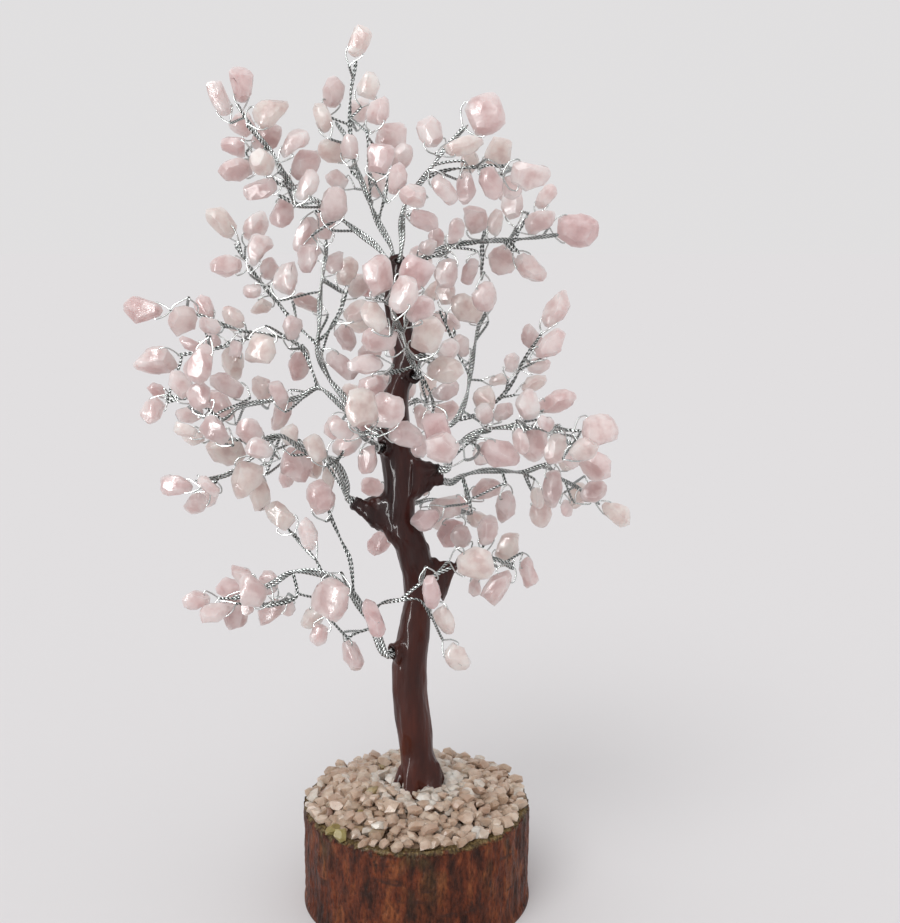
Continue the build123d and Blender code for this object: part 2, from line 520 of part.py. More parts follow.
def end_room(carriers, place, way, half_width):
    """Least room between the flat end of a wire and the routes that carry it."""
    least = CROWN_DEPTH
    for radii, points in carriers:
        for radius, start, end in zip(radii, points, points[1:]):
            run = end - start
            length = run.length
            run = run / length
            along = (place - start).dot(run)
            aside = (place - start - run * along).length - radius
            beyond = max(-along, along - length)
            share = min(1.0, abs(way.dot(run)))
            if beyond > 0:
                room = hypot(beyond, max(aside, 0.0)) - half_width * sqrt(1 - share ** 2)
            else:
                room = aside - half_width * share
            least = min(least, room)
    return least


def carrier_spot(branch_routes, centre, size):
    """Point of the routes that a gem's wire comes from: near the gem, and on the side of the mouth."""
    best = None
    bundle_radii, bundle_points = branch_routes[0]
    for radii, points in [(bundle_radii[1:], bundle_points[1:])] + branch_routes[1:]:
        for start, end in zip(points, points[1:]):
            run = end - start
            for step_share in (0, .2, .4, .6, .8, 1):
                spot = start + run * step_share
                away = centre - spot
                behind = away.dot(run.normalized()) < 0
                lead = away.length
                cost = lead + (lead if behind else 0) + 3 * max(0.0, LEAST_LEAD + size - lead)
                if best is None or cost < best[0]:
                    best = (cost, spot)
    return best[1]


def gem_frame(spot, centre, lean, number):
    """Length direction, width direction and face direction of a gem."""
    tilt_share = TILT_SHARES[number % len(TILT_SHARES)]
    turn = radians(TURN_DEGREES[number % len(TURN_DEGREES)])
    if lean is None:
        away = (centre - spot).normalized()
        along = (away + Vector((0, tilt_share / 2, 0))).normalized()
    else:
        along = Vector((sin(radians(lean)), tilt_share, cos(radians(lean)))).normalized()
    across = along.cross(Vector((0, -1, 0))).normalized()
    facing = across.cross(along).normalized()
    width = (across * cos(turn) + facing * sin(turn)).normalized()
    return along, width, width.cross(along).normalized()


def gem_corners(kind, length):
    """Three rings of a gem's corners in its own width, length and thickness directions."""
    width_share, outline_shares = GEM_SHARES[kind]
    half = GEM_THICKNESS * length / GEM_LENGTH / 2
    rings = []
    for level, grow in ((-half, GEM_FACE_SHARE), (0, 1), (half, GEM_FACE_SHARE)):
        rings.append([(x * width_share * length * grow, y * length * grow, level) for x, y in outline_shares])
    return rings


def edge_width(kind, length, side):
    """Distance of a gem's edge from its middle line, abreast of its hole, on one side."""
    width_share, outline_shares = GEM_SHARES[kind]
    crossings = []
    for (x1, y1), (x2, y2) in zip(outline_shares, outline_shares[1:] + outline_shares[:1]):
        if (y1 + HOLE_PLACE_SHARE) * (y2 + HOLE_PLACE_SHARE) < 0:
            crossings.append(x1 + (x2 - x1) * (-HOLE_PLACE_SHARE - y1) / (y2 - y1))
    reach = max(crossings) if side > 0 else -min(crossings)
    return reach * width_share * length


def gem_wire(carriers, spot, centre, frame, kind, length):
    """Route of a gem's one wire: out along the twig, through the hole and back."""
    along, width = frame[:2]
    width_share, outline_shares = GEM_SHARES[kind]
    fork = centre - along * (length / 2 + FORK_LENGTH)
    lead = fork - spot
    aside = width - lead * (width.dot(lead) / lead.dot(lead))
    aside = aside.normalized() * (WIRE_RADIUS + STRAND_GAP)
    start = clear_start(carriers, spot, fork, 2 * WIRE_RADIUS + STRAND_GAP)
    legs = []
    for side, corner in ((1, outline_shares[1]), (-1, outline_shares[0])):
        hole = centre - along * (HOLE_PLACE_SHARE * length)
        hole = hole + width * (side * (edge_width(kind, length, side) + HOLE_LEAD))
        corner_out = abs(corner[0]) * width_share * length + CORNER_LEAD
        bend = centre + along * (corner[1] * length - WIRE_RADIUS) + width * (side * corner_out)
        legs.append([start + aside * side, fork + aside * side, bend, hole])
    return legs[0] + legs[1][::-1]


def corners_around(frame, rings):
    """A gem's corners from its centre, as plain numbers."""
    along, width, face = frame
    return [tuple(width * x + along * y + face * z) for ring in rings for x, y, z in ring]


def spread(corners, way):
    """How far a gem reaches from its centre in one direction."""
    way_x, way_y, way_z = way
    return max(x * way_x + y * way_y + z * way_z for x, y, z in corners)


def samples(points, count):
    """Points spaced along each run of a route, as plain numbers."""
    spots = []
    for start, end in zip(points, points[1:]):
        spots += [tuple(start + (end - start) * (step / count)) for step in range(count)]
    return spots + [tuple(points[-1])]


def crown():
    """Every branch's routes, gems and gem wires; each gem steps in depth until it is clear of the rest."""
    branches = {name: {"routes": routes(branch), "gems": []} for name, branch in BRANCH_PIXELS_AND_SHARES.items()}
    trunk = trunk_bars()
    bars = [("trunk", radius, spot) for radius, spot in trunk]
    for name, branch in branches.items():
        for radii, points in branch["routes"]:
            for radius, start, end in zip(radii, points, points[1:]):
                bars += [(name, radius, spot) for spot in samples([start, end], ROUTE_SAMPLES)]
    placed = []
    for name, branch in branches.items():
        place = branch_depths(BRANCH_PIXELS_AND_SHARES[name])
        rows = BRANCH_PIXELS_AND_SHARES[name]["gems"]
        for number, (u, v, shift_share, kind, size_share, lean) in enumerate(rows):
            length = GEM_LENGTH * size_share
            best = None
            for sidestep_share in SIDESTEP_SHARES:
                centre = place(u, v, shift_share + sidestep_share)
                spot = carrier_spot(branch["routes"], centre, length / 2)
                frame = gem_frame(spot, centre, lean, number)
                wire = gem_wire(branch["routes"], spot, centre, frame, kind, length)
                lead = samples(wire[:2], LEAD_SAMPLES) + [tuple(bend) for bend in wire[2:-2]]
                gem = (name, tuple(centre), corners_around(frame, gem_corners(kind, length)), length)
                room = min(clearance(gem, lead, placed, bars), trunk_room(lead, trunk))
                if best is None or room > best[0]:
                    best = (room, gem, lead, {"kind": kind, "length": length, "centre": centre,
                                              "frame": frame, "wire": wire, "room": room})
                if room >= 0:
                    break
            placed.append(best[1])
            bars += [(name, WIRE_RADIUS, spot) for spot in best[2]]
            branch["gems"].append(best[3])
    return branches


def trunk_bars():
    """Radius and middle of the trunk and its stubs at close steps."""
    rings = trunk_rings()
    bars = []
    for (centre, radius), (upper, upper_radius) in zip(rings, rings[1:]):
        bars += [((radius + upper_radius) / 2, spot) for spot in samples([centre, upper], 2)]
    for branch in BRANCH_PIXELS_AND_SHARES.values():
        root, mouth = stub_ends(branch)[:2]
        bars += [(WIRE_RADII[branch["size"]] + STUB_WALL, spot) for spot in samples([root, mouth], ROUTE_SAMPLES)]
    return bars


def trunk_room(lead, trunk):
    """Least room between a gem's wire and the trunk."""
    return min(dist(spot, bar) - radius - WIRE_RADIUS for spot in lead for radius, bar in trunk)


def clearance(gem, lead, placed, bars):
    """Least room around a gem and its wire, less the room that they need; under nought is a clash."""
    name, centre, corners, length = gem
    least = min(gem_room(spot, WIRE_RADIUS, gem) for spot in lead[:LEAD_SAMPLES])
    for other in placed:
        distance = dist(centre, other[1])
        need = GEM_GAP if other[0] == name else BRANCH_GAP
        if distance < length + other[3] + need:
            way = [(b - a) / distance for a, b in zip(centre, other[1])]
            back = [-share for share in way]
            least = min(least, distance - spread(corners, way) - spread(other[2], back) - need)
        for spot in lead:
            if dist(spot, other[1]) < other[3] + need:
                least = min(least, gem_room(spot, WIRE_RADIUS, other) - need)
    for other, radius, spot in bars:
        need = GEM_GAP if other == name else BRANCH_GAP
        if dist(centre, spot) < length + radius + need:
            least = min(least, gem_room(spot, radius, gem) - need)
    return least


def gem_room(spot, radius, gem):
    """Room between a gem and a round wire whose middle is at a spot."""
    centre, corners = gem[1:3]
    distance = max(dist(centre, spot), WIRE_RADIUS)
    way = [(b - a) / distance for a, b in zip(centre, spot)]
    return distance - radius - spread(corners, way)


def solid_between(rings):
    """Closed solid between rings of corners, with a flat face for every side."""
    faces = [Face(Wire.make_polygon(rings[0])), Face(Wire.make_polygon(rings[-1]))]
    for low, high in zip(rings, rings[1:]):
        for i in range(len(low)):
            j = (i + 1) % len(low)
            faces.append(Face(Wire.make_polygon([low[i], low[j], high[j], high[i]])))
    return outward(Solid(Shell(faces)))


def outward(solid):
    """The solid with its faces looking out."""
    return solid if solid.volume > 0 else Solid(solid.wrapped.Reversed())


def tube(points, radii, sides):
    """Many-sided bar along straight runs, mitred at the corners and tapered from radius to radius."""
    first = (points[1] - points[0]).normalized()
    helper = Vector((0, 0, 1)) if abs(first.Z) < 0.8 else Vector((1, 0, 0))
    x_way = first.cross(helper).normalized()
    y_way = first.cross(x_way)
    ring = []
    for i in range(sides):
        angle = 2 * pi * i / sides
        ring.append(points[0] + x_way * (radii[0] * cos(angle)) + y_way * (radii[0] * sin(angle)))
    rings = [ring]
    spots = list(zip(points, points[1:], points[2:] + [None], radii, radii[1:]))
    for before, corner, after, start_radius, end_radius in spots:
        run = corner - before
        way = run.normalized()
        normal = way if after is None else (way + (after - corner).normalized()).normalized()
        apex = None if start_radius == end_radius else before + run * (start_radius / (start_radius - end_radius))
        ring = [onto_plane(spot, way if apex is None else apex - spot, corner, normal) for spot in ring]
        rings.append(ring)
    return solid_between(rings)


def onto_plane(spot, way, place, normal):
    """Where a line from a spot meets the plane through a place."""
    return spot + way * ((place - spot).dot(normal) / way.dot(normal))


@lru_cache(maxsize=None)
def gem_blank(kind, length):
    """A drilled gem at the origin, lying along Y with its hole along X."""
    rings = [[Vector(corner) for corner in ring] for ring in gem_corners(kind, length)]
    hole_place = Plane(origin=(-length, -HOLE_PLACE_SHARE * length, 0), x_dir=(0, 1, 0), z_dir=(1, 0, 0))
    return solid_between(rings) - Solid.make_cylinder(HOLE_RADIUS, 2 * length, hole_place)


def gem_solid(gem):
    """One gem in its place."""
    along, width, face = gem["frame"]
    place = Plane(origin=gem["centre"], x_dir=width, z_dir=face)
    return gem_blank(gem["kind"], gem["length"]).moved(place.location)


def cone_between(start, end, start_radius, end_radius):
    """Round tapered bar between two places."""
    run = end - start
    plane = Plane(origin=start, z_dir=run.normalized())
    if start_radius == end_radius:
        return Solid.make_cylinder(start_radius, run.length, plane)
    return Solid.make_cone(start_radius, end_radius, run.length, plane)


def round_stack(rings):
    """Round bar through level rings given by centre and radius."""
    circles = [Wire.make_circle(radius, Plane(origin=centre)) for centre, radius in rings]
    return Solid.make_loft(circles, ruled=True)


def bed_top():
    """Height of the top of the glue bed."""
    return LOG_HEIGHT - BED_RECESS + BED_THICKNESS


def make_log():
    """Wood of the log, with a blind hole for the trunk's core, and its furrowed ring of bark."""
    wood = Solid.make_cylinder(LOG_RADIUS - BARK_THICKNESS, LOG_HEIGHT - BED_RECESS)
    foot = trunk_rings()[0][0]
    hole_bottom = LOG_HEIGHT - BED_RECESS - FOOT_HOLE_DEPTH
    hole = Solid.make_cylinder(CORE_RADIUS + CORE_GAP, LOG_HEIGHT, Plane(origin=(foot.X, foot.Y, hole_bottom)))
    return {"log_core": [wood - hole], "bark": [make_bark()]}


def make_bark():
    """Ring of bark with upright furrows, bevelled at its top edge."""
    corners = []
    for i in range(2 * BARK_FURROWS):
        angle = pi * i / BARK_FURROWS
        radius = LOG_RADIUS - (BARK_FURROW if i % 2 else 0)
        corners.append((radius * cos(angle), radius * sin(angle)))
    levels = ((0, 0), (LOG_HEIGHT - RIM_BEVEL, 0), (LOG_HEIGHT, RIM_BEVEL))
    rings = []
    for height, inset in levels:
        share = (LOG_RADIUS - inset) / LOG_RADIUS
        rings.append([Vector((x * share, y * share, height)) for x, y in corners])
    bore = Solid.make_cylinder(LOG_RADIUS - BARK_THICKNESS + BARK_GAP, 2 * LOG_HEIGHT)
    return solid_between(rings) - bore.moved(Location((0, 0, -LOG_HEIGHT / 2)))


def make_ground():
    """Bed of glue round the trunk's foot, and layers of quartz chips on it."""
    bed = Solid.make_cylinder(LOG_RADIUS - BARK_THICKNESS - BED_GAP, BED_THICKNESS,
                              Plane(origin=(0, 0, LOG_HEIGHT - BED_RECESS)))
    foot = trunk_rings()[0][0]
    foot_room = FOOT_RADIUS + ROOT_REACH / 2
    opening = Solid.make_cylinder(foot_room, 2 * LOG_HEIGHT, Plane(origin=(foot.X, foot.Y, 0)))
    nodes = {"glue_bed": [bed - opening]}
    for layer in range(CHIP_LAYERS):
        level = bed_top() + layer * CHIP_HEIGHT
        radius = LOG_RADIUS - BARK_THICKNESS - CHIP_LENGTH / 2 - layer * LAYER_INSET
        chips = []
        count = int(pi * radius ** 2 / CHIP_SPACING ** 2)
        for number in range(count):
            out = radius * sqrt((number + 0.5) / count)
            angle = radians(SPIRAL_TURN_DEGREES) * (number + layer / 2)
            x, y = out * cos(angle), out * sin(angle)
            if hypot(x - foot.X, y - foot.Y) > foot_room + CHIP_LENGTH / 2:
                turn = Location((x, y, level), (0, 0, CHIP_TURN_DEGREES * number))
                chips.append(chip_blank(number % CHIP_SIZES).moved(turn))
        nodes[f"quartz_chips_{layer + 1}"] = chips
    return nodes


@lru_cache(maxsize=None)
def chip_blank(number):
    """A flat-lying quartz chip at the origin."""
    length = CHIP_LENGTH * (1 - number * CHIP_STEP_SHARE)
    rings = []
    for level, share in ((0, 1), (CHIP_HEIGHT, CHIP_TOP_SHARE)):
        rings.append([Vector((x * length * share, y * length * share, level)) for x, y in CHIP_SHARES])
    return solid_between(rings)


def make_trunk():
    """Wire core standing in the log, and the painted coat over it with its stubs, roots and bores."""
    rings = trunk_rings()
    seat = LOG_HEIGHT - BED_RECESS
    foot = rings[0][0]
    sole = Vector((foot.X, foot.Y, seat))
    coat = round_stack([(sole, FOOT_RADIUS)] + rings)
    for number in range(ROOTS):
        angle = radians(ROOT_START_DEGREES + number * 360 / ROOTS)
        out = Vector((cos(angle), sin(angle), 0))
        top = foot + Vector((0, 0, ROOT_RISE))
        tip = sole + out * (FOOT_RADIUS - ROOT_RADIUS + ROOT_REACH / 2)
        coat += cone_between(tip, top, ROOT_RADIUS, ROOT_RADIUS / 2)
    coat = coat - Solid.make_box(2 * LOG_RADIUS, 2 * LOG_RADIUS, seat).moved(Location((-LOG_RADIUS, -LOG_RADIUS, 0)))
    bores = []
    for branch in BRANCH_PIXELS_AND_SHARES.values():
        root, mouth, way_out = stub_ends(branch)
        radius = WIRE_RADII[branch["size"]]
        coat += cone_between(root, mouth, radius * STUB_ROOT_SHARE, radius + STUB_WALL)
        bores.append(cone_between(mouth - way_out * BORE_DEPTH, mouth + way_out * EDGE,
                                  radius + BORE_CLEARANCE, radius + BORE_CLEARANCE))
    core_rings = [(centre, CORE_RADIUS) for centre, radius in rings[:CORE_TOP_ROW]]
    core_foot = foot + Vector((0, 0, seat - FOOT_HOLE_DEPTH + CORE_GAP - foot.Z))
    core = round_stack([(core_foot, CORE_RADIUS)] + core_rings)
    room_rings = [(centre, CORE_RADIUS + CORE_GAP) for centre, radius in core_rings]
    room_top = core_rings[-1][0] + Vector((0, 0, CORE_GAP))
    room = round_stack([(core_foot, CORE_RADIUS + CORE_GAP)] + room_rings + [(room_top, CORE_RADIUS + CORE_GAP)])
    coat = coat - room
    for bore in bores:
        coat = coat - bore
    return {"trunk_core": [core], "trunk_coat": list(coat.solids())}


def make_branches():
    """Wires and gems of every branch."""
    nodes = {}
    for name, branch in crown().items():
        wires = [tube(points, radii, BUNDLE_SIDES) for radii, points in branch["routes"]]
        wires += [tube(gem["wire"], [WIRE_RADIUS] * len(gem["wire"]), WIRE_SIDES) for gem in branch["gems"]]
        nodes[f"{name}_wires"] = wires
        nodes[f"{name}_gems"] = [gem_solid(gem) for gem in branch["gems"]]
        tight = [(number, round(gem["room"], 2)) for number, gem in enumerate(branch["gems"]) if gem["room"] < 0]
        print(name, "gems with less room than asked:", tight)
    return nodes


nodes = make_log()
nodes.update(make_trunk())
nodes.update(make_ground())
nodes.update(make_branches())
os.makedirs("parts", exist_ok=True)
for node, solids in nodes.items():
    export_step(Compound(children=solids) if len(solids) > 1 else solids[0], f"parts/{node}.step")
    print(node, len(solids))
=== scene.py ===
import json
from math import atan2, cos, hypot, pi, radians, sin
from random import Random

import bpy
from mathutils import Matrix, Vector

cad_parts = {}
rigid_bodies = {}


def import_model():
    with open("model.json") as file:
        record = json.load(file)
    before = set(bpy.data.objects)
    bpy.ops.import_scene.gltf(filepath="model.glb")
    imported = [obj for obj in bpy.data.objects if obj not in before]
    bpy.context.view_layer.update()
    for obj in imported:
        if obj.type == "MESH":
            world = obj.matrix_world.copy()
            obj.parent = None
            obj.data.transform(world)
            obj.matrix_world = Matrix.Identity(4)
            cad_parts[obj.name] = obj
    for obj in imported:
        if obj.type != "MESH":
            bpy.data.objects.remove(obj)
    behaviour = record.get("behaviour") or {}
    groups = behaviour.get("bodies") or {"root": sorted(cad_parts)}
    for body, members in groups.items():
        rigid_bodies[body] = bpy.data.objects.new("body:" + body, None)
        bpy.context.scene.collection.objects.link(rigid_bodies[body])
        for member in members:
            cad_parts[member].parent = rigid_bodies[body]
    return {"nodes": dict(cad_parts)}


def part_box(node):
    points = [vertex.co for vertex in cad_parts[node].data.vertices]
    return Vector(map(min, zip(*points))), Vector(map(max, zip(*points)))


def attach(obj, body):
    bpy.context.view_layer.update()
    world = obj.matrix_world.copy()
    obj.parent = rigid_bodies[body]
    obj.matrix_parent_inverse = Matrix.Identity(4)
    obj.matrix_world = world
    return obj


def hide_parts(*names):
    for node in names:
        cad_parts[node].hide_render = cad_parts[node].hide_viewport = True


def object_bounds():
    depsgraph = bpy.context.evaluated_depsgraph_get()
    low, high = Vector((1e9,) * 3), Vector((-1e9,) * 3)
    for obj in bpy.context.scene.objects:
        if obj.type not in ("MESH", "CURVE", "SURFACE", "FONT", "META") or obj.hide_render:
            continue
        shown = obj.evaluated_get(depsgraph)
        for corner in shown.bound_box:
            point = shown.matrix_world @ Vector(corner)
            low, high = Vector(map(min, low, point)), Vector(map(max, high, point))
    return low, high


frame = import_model()
cad_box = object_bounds()

# Sizes of the tree, its base and its parts, in metres
TREE_RISE = 0.242
CROWN_DEPTH = 0.056
LOG_RADIUS = 0.0375
LOG_HEIGHT = 0.034
BARK_THICKNESS = 0.0028
RIM_BEVEL = 0.0014
STUB_WALL = 0.0015
WIRE_RADIUS = 0.00025
BUNDLE_SEAT = 0.001
BUNDLE_STRAIGHT = 0.0024
LEAST_LEAD = 0.0065
GEM_LENGTH = 0.010
GEM_THICKNESS = 0.0044
GEM_FACE_SHARE = 0.66
HOLE_PLACE_SHARE = 0.3
HOLE_LEAD = 0.00045
CORNER_LEAD = 0.0006
FORK_LENGTH = 0.0022
CHIP_LENGTH = 0.0042

# Point of view whose pixel positions the tables below are in
VIEW_DISTANCE_SHARE = 1.612
VIEW_RISE_SHARE = 0.789
VIEW_ASIDE_SHARE = 0.0459
VIEW_DISTANCE = VIEW_DISTANCE_SHARE * TREE_RISE
VIEW_RISE = VIEW_RISE_SHARE * TREE_RISE
VIEW_ASIDE = VIEW_ASIDE_SHARE * TREE_RISE
VIEW_PITCH_DEGREES = 11.3
FOCUS_PIXELS = 1270.0
MIDDLE_U_PIXELS = 450.0
MIDDLE_V_PIXELS = 461.5
FRAME_HEIGHT_PIXELS = 923.0

# Kinds of gem: width as a share of length, and the outline's corners as shares of width and length
GEM_SHARES = {
    "nugget": (0.8, [(-.28, -.5), (.26, -.49), (.5, -.14), (.44, .28), (.12, .5), (-.3, .43), (-.5, .02)]),
    "slab": (0.56, [(-.34, -.5), (.36, -.48), (.5, -.05), (.42, .42), (.05, .5), (-.42, .44), (-.5, -.1)]),
    "leaf": (0.52, [(-.24, -.5), (.26, -.48), (.5, -.1), (.36, .26), (.04, .5), (-.36, .22), (-.5, -.14)]),
    "kite": (0.75, [(-.18, -.5), (.18, -.49), (.42, -.06), (.5, .26), (.22, .5), (-.28, .48), (-.5, .2)]),
    "wedge": (0.8, [(-.4, -.5), (.42, -.47), (.5, -.14), (.3, .36), (.02, .5), (-.26, .41), (-.5, -.08)]),
    "block": (0.95, [(-.4, -.48), (.34, -.5), (.5, -.2), (.46, .38), (.2, .5), (-.4, .44), (-.5, .05)]),
    "bean": (0.6, [(-.28, -.5), (.2, -.5), (.5, -.22), (.47, .26), (.2, .5), (-.28, .47), (-.5, .06)]),
    "shard": (0.85, [(-.34, -.5), (.38, -.42), (.5, .12), (.05, .5), (-.5, .22)]),
    "broad": (1.2, [(-.36, -.5), (.3, -.49), (.5, -.12), (.42, .34), (.08, .5), (-.34, .42), (-.5, .0)]),
    "blade": (0.44, [(-.28, -.5), (.36, -.46), (.5, .1), (.2, .5), (-.3, .42), (-.5, -.05)]),
}

# Turns and tilts that the gems of a branch take in order, and steps in depth that are tried for each gem
TURN_DEGREES = (8, -34, 24, -14, 44, -48, 4, 30, -22)
TILT_SHARES = (-0.22, 0.10, 0.28, -0.08, 0.18, -0.30, 0.04)
SIDESTEP_SHARES = (0, -.08, .08, -.16, .16, -.24, .24, -.32, .32, -.40, .40, -.50, .50)

